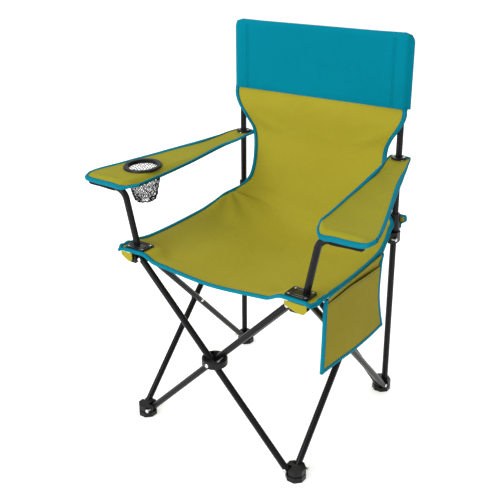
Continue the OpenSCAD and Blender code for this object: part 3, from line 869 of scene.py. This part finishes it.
@dataclass
class Hammock:
    """Seat and back: one surface slung between the four upper corners.

    Each row holds the half width, the edge's y and z, and the middle's y and z.
    """

    finishes: Finishes
    stitches: StitchTree
    rows: tuple[tuple[float, ...], ...] = (
        (251, -238, 433, -233, 412), (266, -212, 434, -210, 407), (267, -170, 430, -170, 402),
        (265, -126, 426, -126, 398), (262, -30, 425, -30, 391), (259, 69, 430, 66, 387),
        (253, 118, 441, 110, 389), (243, 155, 454, 143, 395), (229, 186, 463, 170, 409),
        (211, 203, 478, 192, 438), (194, 213, 506, 206, 476), (186, 218, 556, 219, 532),
        (186.5, 217, 620, 224, 598), (201, 207, 656, 218, 643), (221, 203, 686, 209, 684),
        (232.5, 204.5, 711, 205.5, 712), (233.5, 206.5, 735, 205.5, 735),
    )
    split: float = 8.0
    taut_in: float = 8.0
    taut_up: float = 5.0
    seat_rows: int = 70
    back_rows: int = 64
    inner_cols: int = 24
    outer_cols: int = 9

    def points(self, at: Array, x: Array) -> Array:
        """Surface points.

        Args:
            at: Row numbers, one for each grid row.
            x: Sideways places, grid rows by columns.

        Returns:
            Grid of points.
        """
        w, edge_y, edge_z, mid_y, mid_z = spline(self.rows, at).T[:, :, None]
        t = at[:, None]
        a = np.clip(np.abs(x) / w, 0, 1)
        back = smooth((t - 8.2) / 2.2)
        s = (1 - back) * (0.8 * smooth(a) + 0.2 * a) + back * a**2
        y = mid_y + (edge_y - mid_y) * s
        z = mid_z + (edge_z - mid_z) * s
        flat = smooth((np.abs(x) - 146) / 40) * smooth((-146 - y) / 44) * (t < 6) * smooth((252 - np.abs(x)) / 12)
        fold = self.folds(x, y, z, t)
        z = z + (1 - back) * fold * (1 - flat)
        y = y - back * fold
        z = z + (CLOTH_Z - z) * flat
        taut = smooth((x - HINGE_X) / (w - HINGE_X)) * smooth(t / 1.5) * smooth((8.2 - t) / 1.5)
        return np.stack([x - self.taut_in * taut, y, z + self.taut_up * taut * (1 - flat)], axis=2)

    @staticmethod
    def folds(x: Array, y: Array, z: Array, t: Array) -> Array:
        """Depth of the slack folds that run from the corners and the crease."""
        out = np.zeros_like(x)
        corners = (
            (232, -196, 0.4, 9.0, 1.7), (-232, -196, 1.3, 8.0, 2.2), (236, 176, 0.2, 10.0, 3.6), (-236, 176, 1.0, 9.0, 3.8),
        )
        for cx, cy, phase, spokes, depth in corners:
            dx, dy = x - cx, y - cy
            away = np.hypot(dx, dy)
            angle = np.arctan2(dy, -dx * np.sign(cx))
            near = smooth(away / 45) * np.exp(-((away / 120) ** 2)) * (t < 9.5)
            out += depth * near * np.cos(spokes * angle + phase)
        crease = np.exp(-(((t - 8.35 - 0.1 * np.cos(x / 70)) / 0.22) ** 2)) * smooth((225 - np.abs(x)) / 60)
        out -= 2.6 * crease
        pull = np.exp(-(((t - 12.9) / 0.8) ** 2)) * np.exp(-(((np.abs(x) - 150) / 45) ** 2))
        out += 1.2 * pull * np.cos((z - 0.6 * np.abs(x)) / 9.0)
        drift = np.sin(x / 61 + 0.7) * np.sin(y / 83 + z / 71 + 1.1)
        return out + 0.9 * drift * smooth((t - 1.5) / 2)

    def seat_grid(self) -> tuple[Array, Array]:
        """Grid of the whole seat and its upper normals."""
        at = np.linspace(0, self.split, self.seat_rows)
        w = spline(self.rows, at)[:, 0]
        inner = np.linspace(0, HINGE_X, self.inner_cols + 1)
        outer = HINGE_X + (w[:, None] - HINGE_X) * np.linspace(0, 1, self.outer_cols + 1)[None, 1:]
        half = np.concatenate([np.broadcast_to(inner, (len(at), len(inner))), outer], axis=1)
        grid = self.points(at, np.concatenate([-half[:, :0:-1], half], axis=1))
        return grid, grid_normals(grid, Vector((0, 0, 1)))

    def back_grid(self) -> tuple[Array, Array]:
        """Grid of the back and its front normals."""
        at = np.linspace(self.split, len(self.rows) - 1, self.back_rows)
        w = spline(self.rows, at)[:, 0]
        u = np.linspace(-1, 1, 2 * self.inner_cols + 9)
        grid = self.points(at, u[None] * w[:, None])
        return grid, grid_normals(grid, Vector((0, -1, 0.2)))

    def build(self) -> None:
        """Builds the four seat strips and the back."""
        grid, normals = self.seat_grid()
        uv = cloth_uv(grid)
        middle = self.outer_cols + self.inner_cols
        last = grid.shape[1] - 1
        cuts = {
            ("edge", Side.LEFT): (0, self.outer_cols), ("half", Side.LEFT): (self.outer_cols, middle),
            ("half", Side.RIGHT): (middle, last - self.outer_cols), ("edge", Side.RIGHT): (last - self.outer_cols, last),
        }
        for (kind, side), (start, stop) in cuts.items():
            part = slice(start, stop + 1)
            self._seat_strip(kind, side, grid[:, part], normals[:, part], uv[:, part])
        self._back()

    def _seat_strip(self, kind: str, side: Side, grid: Array, normals: Array, uv: Array) -> None:
        """Builds one strip of the seat with its tapes and stitches."""
        piece = SewnMesh(f"seat_{kind}_cloth_{side.label}")
        keep = np.ones((grid.shape[0] - 1, grid.shape[1] - 1), bool)
        edge = kind == "edge"
        if edge:
            centre = (grid[1:, 1:] + grid[:-1, :-1]) / 2
            keep = np.hypot(centre[..., 0] - side.value * 221.5, centre[..., 1] + 203.8) > 12.5
        piece.sheet(grid, normals, uv, keep=keep)
        piece.edge_tape(grid, normals, "front")
        path = [stitch_line(grid, normals, "front", STITCH_IN)]
        if edge:
            which = "inner" if side is Side.LEFT else "outer"
            piece.edge_tape(grid, normals, which)
            path.append(stitch_line(grid, normals, which, STITCH_IN))
        fold = Fold(f"bracket_{side.label}" if edge else f"seat_{side.label}", (0, 1, 0), FRONT_LINE, SIDE_KEEP)
        cloth = piece.make(self.finishes.sewn)
        declare_sheet(grid)
        fold.fit(cloth, "green_cloth", f"seat_{'edge_' if edge else ''}{side.label}")
        seam = self.stitches.run(f"seat_{kind}_stitches_{side.label}", path)
        fold.fit(seam, "teal_cloth")

    def _back(self) -> None:
        """Builds the back from the crease up to the header."""
        grid, normals = self.back_grid()
        piece = SewnMesh("back_cloth")
        piece.sheet(grid, normals, cloth_uv(grid))
        for which in ("inner", "outer"):
            piece.edge_tape(grid, normals, which)
        cloth = piece.make(self.finishes.sewn)
        declare_sheet(grid)
        BACK_FOLD.fit(cloth, "green_cloth", "back_panel")
        paths = [stitch_line(grid, normals, which, STITCH_IN) for which in ("inner", "outer")]
        BACK_FOLD.fit(self.stitches.run("back_stitches", paths), "teal_cloth")


# ---------- header ----------


@dataclass
class Header:
    """Teal band at the top of the back: two layers with a sleeve on each post."""

    finishes: Finishes
    stitches: StitchTree
    half: float = 238.0
    split: float = 202.0
    corner_r: float = 20.0
    rows: int = 40
    cols: int = 110

    def layer(self, front: bool) -> tuple[Array, Array]:
        """Grid and outward normals of the front or rear layer."""
        z = np.linspace(HEADER_Z, TOP_Z, self.rows)
        bend = np.clip(z - (TOP_Z - self.corner_r), 0, self.corner_r)
        reach = self.half - self.corner_r + np.sqrt(np.maximum(self.corner_r**2 - bend**2, 0))
        u = np.linspace(-1, 1, self.cols)
        x = np.broadcast_to(u * self.half, (self.rows, self.cols)).copy()
        out = np.abs(x) > 216
        squeezed = 216 + (np.abs(x) - 216) * (reach[:, None] - 216) / (self.half - 216)
        x[out] = (np.sign(x) * squeezed)[out]
        a = np.abs(x)
        hug = np.exp(-(((a - POST_X) / 11.5) ** 4))
        flap = smooth((a - 226) / 10)
        if front:
            y = 202.6 - 1.0 * hug + 11.0 * flap
        else:
            y = 206.2 + 8.4 * smooth((a - 150) / 60) + 13.0 * hug + 0.3 * flap
            y = np.where(a > 218, np.minimum(y, 227.6 + (214.8 - 227.6) * smooth((a - 219) / 14)), y)
        close = smooth((z[:, None] - (TOP_Z - 7)) / 7)
        y = y + (209.5 + 4.5 * smooth((a - 150) / 60) + (0.5 if not front else -0.5) - y) * close * 0.92
        ripple = 0.7 * np.sin(a / 23 + z[:, None] / 60) * np.sin(z[:, None] / 31 + 1.0) + 0.9 * np.sin(a / 71 + 0.4)
        y = y + ripple * smooth((190 - a) / 40) * (1 - close) * (0.6 if front else 1.0)
        grid = np.stack([x, y, np.broadcast_to(z[:, None], x.shape)], axis=2)
        return grid, grid_normals(grid, Vector((0, -1 if front else 1, 0)))

    def build(self) -> None:
        """Builds the middle of the band and its two sleeves."""
        (front, front_n), (rear, rear_n) = self.layer(True), self.layer(False)
        cuts = np.searchsorted(front[0, :, 0], [-self.split, self.split])
        spans = {"left": (0, cuts[0]), "middle": (cuts[0], cuts[1]), "right": (cuts[1], self.cols - 1)}
        folds = {"left": Fold("rear_left"), "middle": BACK_FOLD, "right": Fold("rear_right")}
        for name, (start, stop) in spans.items():
            part = slice(start, stop + 1)
            piece = SewnMesh(f"header_{name}")
            for grid, normals in ((front, front_n), (rear, rear_n)):
                piece.sheet(grid[:, part], normals[:, part], cloth_uv(grid)[:, part])
            rim = (front[-1, part] + rear[-1, part]) / 2
            down = np.tile((0.0, 0.0, -1.0), (len(rim), 1))
            piece.tape(rim, down, np.tile((0.0, -1.0, 0.0), (len(rim), 1)), 5.0, 1.0)
            if name != "middle":
                col = 0 if name == "left" else -1
                side = (front[:, col] + rear[:, col]) / 2
                inward = np.tile((1.0 if name == "left" else -1.0, 0.0, 0.0), (len(side), 1))
                piece.tape(side, inward, np.tile((0.0, -1.0, 0.0), (len(side), 1)), 6.0, 0.8)
            cloth = piece.make(self.finishes.sewn_teal)
            lines = []
            for height in (3.0, 8.5):
                z = np.full(stop - start + 1, HEADER_Z + height)
                y = np.interp(front[0, part, 0], front[3, :, 0], front[3, :, 1])
                lines.append(np.stack([front[0, part, 0], y - 1.1, z], axis=1))
            if name == "middle":
                heights = np.linspace(HEADER_Z + 2, TOP_Z - 8, 30)
                for x in (-self.split + 3, -self.split + 8, self.split - 8, self.split - 3):
                    lines.append(np.array([[x, 201.2, z] for z in heights]))
            if name == "right":
                places = np.linspace(223, 236, 6)
                lines.append(np.array([[x, 212.6 - 9 * smooth((234 - x) / 10), 800.0] for x in places]))
            folds[name].fit(cloth, "teal_cloth", *(["header_band"] if name == "middle" else []))
            whole = np.concatenate([front[:, part], rear[::-1, part]], axis=0)
            declare_sheet(whole)
            folds[name].fit(self.stitches.run(f"header_stitches_{name}", lines), "teal_cloth")


# ---------- armrests ----------


@dataclass
class Armrest:
    """Fabric armrest between its arm post and the rear post."""

    finishes: Finishes
    stitches: StitchTree
    side: Side
    rows: int = 96
    cols: int = 30
    front_edge: tuple[tuple[float, float, float], ...] = (
        (231, 32, -14), (243, 10, -14), (258, -6, -13), (285, -9, -11),
        (315, -12, -9), (345, -15, -5), (358, -9, -3), (365, 12, 0),
    )
    inner_edge: tuple[tuple[float, float], ...] = ((231, 32), (226, 90), (217, 190), (205, 310), (191, 434))
    lip_run: float = 16.0
    droop_run: float = 20.0
    front_lift: float = 2.8
    tube_swell: float = 3.4

    def outline(self) -> Array:
        """Grid in the armrest's own plane: sideways place and distance from the front."""
        front = even_curve([point[:2] for point in self.front_edge], self.cols)
        rear = even_curve([(191, 434), (194, 444), (216, 449), (238, 446), (243.5, 434)], self.cols)
        inner = even_curve(self.inner_edge, self.rows)
        outer = even_curve([(365, 12), (360, 46), (338, 120), (298, 250), (243.5, 434)], self.rows)
        return coons(front, rear, inner, outer)

    def grid(self) -> tuple[Array, Array]:
        """Grid of the middle surface and its upper normals."""
        flat = self.outline()
        x, v = flat[..., 0], flat[..., 1]
        u = np.linspace(0, 1, self.cols)[None]
        cup = np.exp(-(((np.hypot(x - CUP_X, v - CUP_V) - 20) / 34).clip(0) ** 2)) if self.side is Side.LEFT else 0.0
        rear = smooth((v - 370) / 40)
        sag = -5.0 * smooth((v - 20) / 90) * (1 - rear) * (4 * u * (1 - u)) * (1 - cup)
        curl = 2.0 * (2 * u - 1) ** 4 * smooth((v - 30) / 80) * (1 - rear) * (1 - cup)
        edge_x, edge_v, edge_h = np.array(self.front_edge).T
        lip = np.interp(x, edge_x, edge_h) * (1 - smooth((v - np.interp(x, edge_x, edge_v)) / self.lip_run))
        slack = 0.9 * np.sin(v / 21 + 3 * u) * smooth((v - 120) / 60) * (1 - rear) * np.sin(math.pi * u)
        if self.side is Side.LEFT:
            in_x, in_v = np.array(self.inner_edge).T
            from_edge = x - np.interp(v, in_v, in_x)
            droop = -np.interp(v, (32, 120, 200, 330), (13.5, 12, 9, 0))
            lip = np.minimum(lip, droop * (1 - smooth(from_edge / self.droop_run)))
        swell = self.tube_swell * np.exp(-(((v - 6) / 9.5) ** 2)) * smooth((x - 262) / 22) * smooth((358 - x) / 18)
        h = 1.0 + sag + lip + slack + swell - curl
        grid = mirrored(np.stack([x, *arm_plane(v, h)], axis=2), self.side)
        return grid, grid_normals(grid, Vector((0, 0, 1)))

    def cloths(self, flat: Array, grid: Array) -> list[tuple[str, int, int, Fold]]:
        """Cloths the armrest is cut into, with their first and last row and how they fold.

        Args:
            flat: Outline grid in the armrest's plane.
            grid: Middle surface.

        Returns:
            One cloth, or two where the cup ring has to keep its hole.
        """
        body, last = f"arm_{self.side.label}", self.rows - 1
        if self.side is Side.RIGHT:
            return [("", 0, last, Fold(body, (0, 1, 0), (0, ARM_FRONT_Y * MM, 0), ARM_KEEP))]
        cut = int(np.argmax(flat[:, 0, 1] > CUP_V + CUP_R + CUP_CUT_GAP))
        behind = Fold(body, (0, 1, 0), (0, float(grid[cut, 0, 1]) * MM, 0), CUP_ARM_KEEP)
        return [("_front", 0, cut, Fold(body)), ("", cut, last, behind)]

    def build(self) -> None:
        """Builds the armrest, its tape and its tube pocket."""
        grid, normals = self.grid()
        flat = self.outline()
        centre = (flat[1:, 1:] + flat[:-1, :-1]) / 2
        keep = np.hypot(centre[..., 0] - POST_X, centre[..., 1] - EYELET_V) > EYELET_HOLE_R
        if self.side is Side.LEFT:
            keep &= np.hypot(centre[..., 0] - CUP_X, centre[..., 1] - CUP_V) > CUP_R + CUP_HOLE_GAP
        label = self.side.label
        for name, start, stop, fold in self.cloths(flat, grid):
            part = slice(start, stop + 1)
            own, own_n = grid[part], normals[part]
            piece = SewnMesh(f"armrest_cloth{name}_{label}")
            piece.sheet(own, own_n, cloth_uv(grid)[part], keep=keep[start:stop])
            sides = ["outer", "inner"] + (["rear"] if stop == self.rows - 1 else [])
            for which in sides:
                piece.edge_tape(own, own_n, which)
            if start == 0:
                piece.tape(grid[0], grid[1] - grid[0], normals[0], TAPE_W, self.front_lift)
                sides.append("front")
            # The armrest cloth is the darker olive copy, painted shade.
            cloth = piece.make(self.finishes.sewn_arm_painted_shade)
            declare_sheet(own)
            fold.fit(cloth, "green_cloth", *([] if name else [f"armrest_{label}"]))
            paths = [stitch_line(own, own_n, which, STITCH_IN) for which in sides]
            fold.fit(self.stitches.run(f"armrest_stitches{name}_{label}", paths), "teal_cloth")
        self._tube_pocket()

    def _tube_pocket(self) -> None:
        """Builds the cloth pocket that the end of the arm post sits in, in black as a painted shadow under the
        armrest's front tape.
        """
        start, end = np.array((276.0, -208.8, 571.2)), np.array((350.5, -215.5, 576.8))
        along = (end - start) / np.linalg.norm(end - start)
        out = np.cross(along, (0, 0, 1.0))
        out /= np.linalg.norm(out)
        up = np.cross(out, along)
        turns = np.linspace(0, 2 * math.pi, 21)
        rings, normals = [], []
        for s in np.linspace(0, 1, 22):
            r = 8.1 + 0.2 * math.sin(9 * s) - (6.5 * smooth((s - 0.93) / 0.07))
            lift = np.where(np.sin(turns) > 0.3, 1.0 + 0.22 * np.sin(turns), 1.0)
            ray = np.cos(turns)[:, None] * out + (np.sin(turns) * lift)[:, None] * up
            rings.append(start + (end - start) * s + r * ray)
            normals.append(ray / np.linalg.norm(ray, axis=1, keepdims=True))
        piece = SewnMesh(f"tube_pocket_{self.side.label}")
        grid, normals = mirrored(np.array(rings), self.side), mirrored(np.array(normals), self.side)
        piece.sheet(grid, normals, cloth_uv(grid), 0.8)
        # Made in black as a painted shadow line under the front tape.
        cloth = piece.make([self.finishes.painted_shadow_cloth])
        declare_sheet(grid)
        Fold(f"bracket_{self.side.label}").fit(cloth, "green_cloth")


# ---------- cup holder ----------


@dataclass
class CupNet:
    """Net basket that hangs from the cup ring."""

    nets: NetTree
    around: int = 34
    down: int = 11
    top_r: float = 39.2
    low_r: float = 25.0
    depth: float = 84.0
    cord_r: float = 0.68

    def build(self) -> None:
        """Knots the net and fits it under the ring."""
        rings = []
        levels = self.down * 2
        for i in range(levels + 1):
            s = i / levels
            r = self.top_r + (self.low_r - self.top_r) * (0.45 * s + 0.55 * s**3)
            rings.append((r, -1.0 - (self.depth - 6.0) * s))
        floor = [(self.low_r * f, -self.depth + 2.5 * f**2) for f in (0.76, 0.44)]
        verts, edges = [], []
        for i, (r, h) in enumerate(rings + floor):
            turn = 0.5 * (i % 2)
            for k in range(self.around):
                angle = 2 * math.pi * (k + turn) / self.around
                verts.append(self._place(r * math.cos(angle), r * math.sin(angle), h))
            if i:
                back = (i - 1) * self.around
                for k in range(self.around):
                    step = 1 if i % 2 else -1
                    edges.append((i * self.around + k, back + k))
                    edges.append((i * self.around + k, back + (k + step) % self.around))
        for i in (0, levels, levels + 2):
            edges += [(i * self.around + k, i * self.around + (k + 1) % self.around) for k in range(self.around)]
        mesh = bpy.data.meshes.new("cup_net_cords")
        mesh.from_pydata(verts, edges, [])
        values = {self.nets.radius: self.cord_r * MM, self.nets.slack: 0.0016}
        net = bake_nodes("cup_net_cords", mesh, self.nets.tree, values)
        Fold("arm_left").fit(net, "black_net", "cup_net")

    @staticmethod
    def _place(x: float, v: float, h: float) -> tuple[float, float, float]:
        """Place in metres of a point measured from the cup's middle on the armrest plane."""
        y, z = arm_plane(v + CUP_V, h)
        return ((-CUP_X + x) * MM, y * MM, z * MM)


# ---------- side pocket, tabs and ears ----------


@dataclass
class SidePocket:
    """Two-layer pocket that hangs from the right seat edge."""

    finishes: Finishes
    stitches: StitchTree
    rows: int = 46
    cols: int = 56
    mouth: tuple[tuple[float, float], ...] = ((-187, 418), (-75, 420), (67, 410))
    hem: tuple[tuple[float, float], ...] = ((-187, 431), (-70, 431), (72, 438))

    def layer(self, outer: bool) -> tuple[Array, Array]:
        """Grid of one layer, top row first, and its normals to the outside of the chair."""
        top = even_curve(self.mouth if outer else self.hem, self.cols)
        low = even_curve([(-193, 264), (-110, 257), (-27, 249), (91, 250)], self.cols)
        front = even_curve([tuple(top[0]), (-189, 346), (-193, 264)], self.rows)
        rear = even_curve([tuple(top[-1]), (65, 351), (75, 298), (91, 250)], self.rows)
        flat = coons(top, low, front, rear)
        u = np.linspace(0, 1, self.cols)[None]
        v = np.linspace(0, 1, self.rows)[:, None]
        belly = np.sin(math.pi * u) ** 0.7 * np.sin(math.pi * (0.12 + 0.88 * v))
        ripple = 0.8 * np.sin(13 * u + 3 * v) * np.sin(math.pi * u) + 0.7 * np.sin(9 * u - 7 * v + 1)
        if outer:
            gape = 2.2 * np.sin(math.pi * u) * smooth((0.25 - v) / 0.25)
            x = 256.4 + 2.6 * belly + gape + 0.7 * ripple * np.sin(math.pi * u)
        else:
            x = 254.0 - 3.2 * belly + 0.3 * ripple * np.sin(math.pi * u)
            x = x + 4.0 * smooth((0.12 - v) / 0.12)
        grid = np.stack([np.broadcast_to(x, flat.shape[:2]), flat[..., 0], flat[..., 1]], axis=2)
        return grid, grid_normals(grid, Vector((1, 0, 0)))

    def build(self) -> None:
        """Builds both layers, the tape and the stitches."""
        fold = Fold("bracket_right", (0, 1, 0), FRONT_LINE, SIDE_KEEP)
        piece = SewnMesh("pocket_cloth")
        (inner, inner_n), (outer, outer_n) = self.layer(False), self.layer(True)
        piece.sheet(inner, inner_n, cloth_uv(inner))
        piece.sheet(outer, outer_n, cloth_uv(outer))
        paths = []
        for which in ("inner", "rear", "outer"):
            inner_line, inward, _ = side_line(inner, inner_n, which)
            outer_line = side_line(outer, outer_n, which)[0]
            edge = np.where((1, 0, 0), (inner_line + outer_line) / 2, inner_line)
            inward = unit(inward * np.array((0, 1, 1)))
            piece.tape(edge, inward, np.tile((1.0, 0, 0), (len(edge), 1)), TAPE_W - 1.0, 2.2)
            line = edge + inward * (TAPE_W - 2.6)
            paths.append(line + np.array((3.0, 0, 0)))
        hem = outer[0] + np.array((0.95, 0, -5.0))
        paths.append(hem)
        # The pocket cloth is the darker olive copy, painted shade.
        cloth = piece.make(self.finishes.sewn_pocket)
        whole = np.concatenate([inner, outer[::-1]], axis=0)
        declare_sheet(whole)
        fold.fit(cloth, "green_cloth", "side_pocket")
        fold.fit(self.stitches.run("pocket_stitches", paths), "teal_cloth")


@dataclass
class CornerTab:
    """Cloth tab that wraps the front of an upper corner."""

    finishes: Finishes
    side: Side
    top: float = 434.0
    high: float = 425.5
    low: float = 413.5

    @property
    def span(self) -> tuple[float, float]:
        """Sideways places of the tab's two ends."""
        return (191.0, 243.0) if self.side is Side.RIGHT else (-242.0, -211.0)

    def build(self) -> None:
        """Builds the tab with its slanted, rounded lower end."""
        u, v = np.meshgrid(np.linspace(0, 1, 26), np.linspace(0, 1, 14))
        start, stop = self.span
        slant = (self.low - self.high) * np.sin(math.pi / 2 * np.minimum(u / 0.8, 1.0))
        low = self.high + slant + 9 * np.clip((u - 0.8) / 0.2, 0, 1) ** 2.4
        x = start + (stop - start) * u
        z = self.top + (low - self.top) * v
        y = -236.4 - 2.2 * np.sin(math.pi * v) * np.sin(math.pi * (0.1 + 0.8 * u)) - 0.4 * np.cos(9 * u)
        grid = np.stack([x, y, z], axis=2)
        normals = grid_normals(grid, Vector((0, -1, 0)))
        piece = SewnMesh(f"corner_tab_cloth_{self.side.label}")
        piece.sheet(grid, normals, cloth_uv(grid))
        cloth = piece.make(self.finishes.sewn)
        declare_sheet(grid)
        Fold(f"bracket_{self.side.label}").fit(cloth, "green_cloth", f"corner_tab_{self.side.label}")


@dataclass
class SeatEar:
    """Cloth ear riveted to the back of a slider."""

    finishes: Finishes
    side: Side

    def build(self) -> None:
        """Builds the ear and its tape."""
        u, v = np.meshgrid(np.linspace(-1, 1, 18), np.linspace(0, 1, 18))
        reach = 228 + 13 * smooth((v - 0.25) / 0.35) - 2 * smooth((v - 0.85) / 0.15)
        x = 208.5 + (reach - 208.5) * (u + 1) / 2
        z = 440.5 + v * 33
        y = 229.3 + 0.5 * np.sin(3 * v) + 0.3 * u**2
        grid = mirrored(np.stack([x, y, z], axis=2), self.side)
        normals = grid_normals(grid, Vector((0, 1, 0)))
        keep_at = (grid[1:, 1:] + grid[:-1, :-1]) / 2
        keep = np.ones(keep_at.shape[:2], bool)
        for height in (10, 22):
            keep &= np.hypot(keep_at[..., 0] - self.side.value * POST_X, keep_at[..., 2] - 436 - height) > 1.9
        piece = SewnMesh(f"seat_ear_cloth_{self.side.label}")
        piece.sheet(grid, normals, cloth_uv(grid), keep=keep)
        binding = SewnMesh(f"seat_ear_binding_{self.side.label}")
        for which in ("front", "rear", "inner", "outer"):
            binding.tape(*side_line(grid, normals, which), 5.5, 1.0)
        Fold(f"slider_{self.side.label}").fit(binding.make(self.finishes.sewn), "teal_cloth")
        cloth = piece.make(self.finishes.sewn)
        declare_sheet(grid)
        Fold(f"slider_{self.side.label}").fit(cloth, "green_cloth", f"seat_ear_{self.side.label}")


# ---------- corner plates ----------


@dataclass
class PlateRim:
    """Raised rim and inner rib moulded on a corner plate, round the foot of the arm post."""

    finishes: Finishes
    side: Side
    rib: float = 1.1
    insets: tuple[float, float] = (2.4, 9.5)
    corner_r: float = 6.0

    def build(self) -> None:
        """Builds both ribs as one piece on the plate."""
        low, high = (np.array(corner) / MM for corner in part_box(f"corner_plate_{self.side.label}"))
        middle, half = (low + high) / 2, (high - low) / 2
        piece = SewnMesh(f"plate_rim_{self.side.label}")
        for inset in self.insets:
            turns = np.linspace(0, 2 * math.pi, 72, endpoint=False)
            ray = np.stack([np.cos(turns), np.sin(turns)], axis=1)
            square = np.sign(ray) * np.abs(ray) ** 0.28 * (half[:2] - inset)
            centres = np.column_stack([middle[:2] + square, np.full(len(turns), high[2] + 0.2)])
            around = np.linspace(0, 2 * math.pi, 8, endpoint=False)
            profile = [(math.cos(a) * self.rib, math.sin(a) * self.rib * 0.9) for a in around]
            outward = np.column_stack([ray, np.zeros(len(turns))])
            rings = np.stack([centres + outward * a + np.array((0, 0, 1.0)) * b for a, b in profile], axis=1)
            piece.loft(rings[::-1], centres[::-1], Layer.CLOTH, closed=True)
        Fold(f"bracket_{self.side.label}").fit(piece.make([self.finishes.plate]), "black_plastic")


# ---------- frame finishes ----------


@dataclass
class FrameDress:
    """Finishes for the tubes, mouldings and rivets of the frame."""

    finishes: Finishes

    def choose(self, name: str) -> bpy.types.Material | None:
        """Finish for a node of the frame, or none for cloth."""
        if "rivet" in name:
            return self.finishes.zinc
        if name.startswith(("tube_", "post_left", "post_right", "arm_post_")):
            return self.finishes.powder
        if name.startswith("corner_plate_"):
            return self.finishes.plate
        if name.startswith(("foot_", "hub_", "bracket_", "slider_", "eyelet_", "cup_ring", "post_cap_")):
            return self.finishes.plastic
        return None

    def build(self) -> None:
        """Dresses every node that stays visible."""
        for name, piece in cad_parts.items():
            material = self.choose(name)
            if material is None:
                continue
            for material_slot in piece.material_slots:
                material_slot.material = material
            LOG.info("%s dressed in %s", name, material.name)


# ---------- studio ----------


@dataclass
class Studio:
    """Pale floor, soft lights and the camera."""

    floor_size: float = 60.0
    lens: float = 58.27
    shift: tuple[float, float] = (0.0229, -0.0921)
    location: tuple[float, float, float] = (0.94462, -1.45841, 1.16795)
    right: tuple[float, float, float] = (0.81866, 0.57423, -0.00691)
    up: tuple[float, float, float] = (-0.19429, 0.28827, 0.93763)
    forward: tuple[float, float, float] = (-0.54041, 0.76626, -0.34757)

    def build(self) -> None:
        """Makes the floor, the world, the lights and the camera."""
        self._floor()
        self._world()
        self._light("key", (-1.0, -4.0, 2.3), 2.8, 128.0)
        self._light("top", (-1.2, -0.4, 4.2), 3.0, 62.0)
        self._light("rim", (-0.6, 3.4, 2.6), 2.4, 30.0)
        self._camera()

    def _floor(self) -> None:
        """Plain pale floor."""
        half = self.floor_size / 2
        mesh = bpy.data.meshes.new("floor")
        corners = [(x * half, y * half, FLOOR_Z) for x, y in ((-1, -1), (1, -1), (1, 1), (-1, 1))]
        mesh.from_pydata(corners, [], [(0, 1, 2, 3)])
        material, w, surface = new_material("pale_floor")
        coordinates = w.add("ShaderNodeTexCoord")
        noise = w.add("ShaderNodeTexNoise", Scale=2.0, Detail=2.0)
        w.join(coordinates.outputs["Object"], noise.inputs["Vector"])
        w.join(w.mix(noise.outputs[0], (0.86, 0.86, 0.86, 1), (0.9, 0.9, 0.9, 1)), surface.inputs["Base Color"])
        surface.inputs["Roughness"].default_value = 0.9
        surface.inputs["Specular IOR Level"].default_value = 0.0
        surface.inputs["Emission Color"].default_value = (1.0, 1.0, 1.0, 1.0)
        surface.inputs["Emission Strength"].default_value = 0.42
        mesh.materials.append(material)
        floor = bpy.data.objects.new("floor", mesh)
        bpy.context.scene.collection.objects.link(floor)

    @staticmethod
    def _world() -> None:
        """Even white surroundings."""
        world = bpy.data.worlds.new("studio")
        world.use_nodes = True
        wiring = Wiring(world.node_tree)
        background = world.node_tree.nodes["Background"]
        background.inputs[0].default_value = (1.0, 1.0, 1.0, 1.0)
        seen = wiring.add("ShaderNodeLightPath").outputs["Is Camera Ray"]
        wiring.join(wiring.math("ADD", wiring.math("MULTIPLY", seen, 0.32), 0.7), background.inputs[1])
        bpy.context.scene.world = world

    @staticmethod
    def _light(name: str, place: tuple[float, float, float], size: float, power: float) -> None:
        """Adds a soft square light aimed at the seat."""
        data = bpy.data.lights.new(name, "AREA")
        data.size = size
        data.energy = power
        lamp = bpy.data.objects.new(name, data)
        lamp.location = place
        lamp.rotation_euler = (Vector((0, 0, 0.45)) - Vector(place)).to_track_quat("-Z", "Y").to_euler()
        bpy.context.scene.collection.objects.link(lamp)

    def _camera(self) -> None:
        """Places the camera."""
        data = bpy.data.cameras.new("camera")
        data.lens = self.lens
        data.sensor_width = 36.0
        data.shift_x, data.shift_y = self.shift
        data.clip_end = 100.0
        camera = bpy.data.objects.new("camera", data)
        r, u, f = (Vector(v) for v in (self.right, self.up, self.forward))
        matrix = Matrix((r, u, -f)).transposed().to_4x4()
        matrix.translation = Vector(self.location)
        camera.matrix_world = matrix
        bpy.context.scene.collection.objects.link(camera)
        bpy.context.scene.camera = camera


def main() -> None:
    """Builds the chair's looks in order."""
    logging.basicConfig(level=logging.INFO, format="%(name)s: %(message)s")
    bpy.context.scene.view_settings.view_transform = "Standard"
    finishes = Finishes()
    stitches = StitchTree(finishes.thread)
    Studio().build()
    FrameDress(finishes).build()
    Hammock(finishes, stitches).build()
    Header(finishes, stitches).build()
    for side in Side:
        Armrest(finishes, stitches, side).build()
        CornerTab(finishes, side).build()
        SeatEar(finishes, side).build()
        PlateRim(finishes, side).build()
    CupNet(NetTree(finishes.net)).build()
    SidePocket(finishes, stitches).build()


if __name__ == "__main__":
    main()
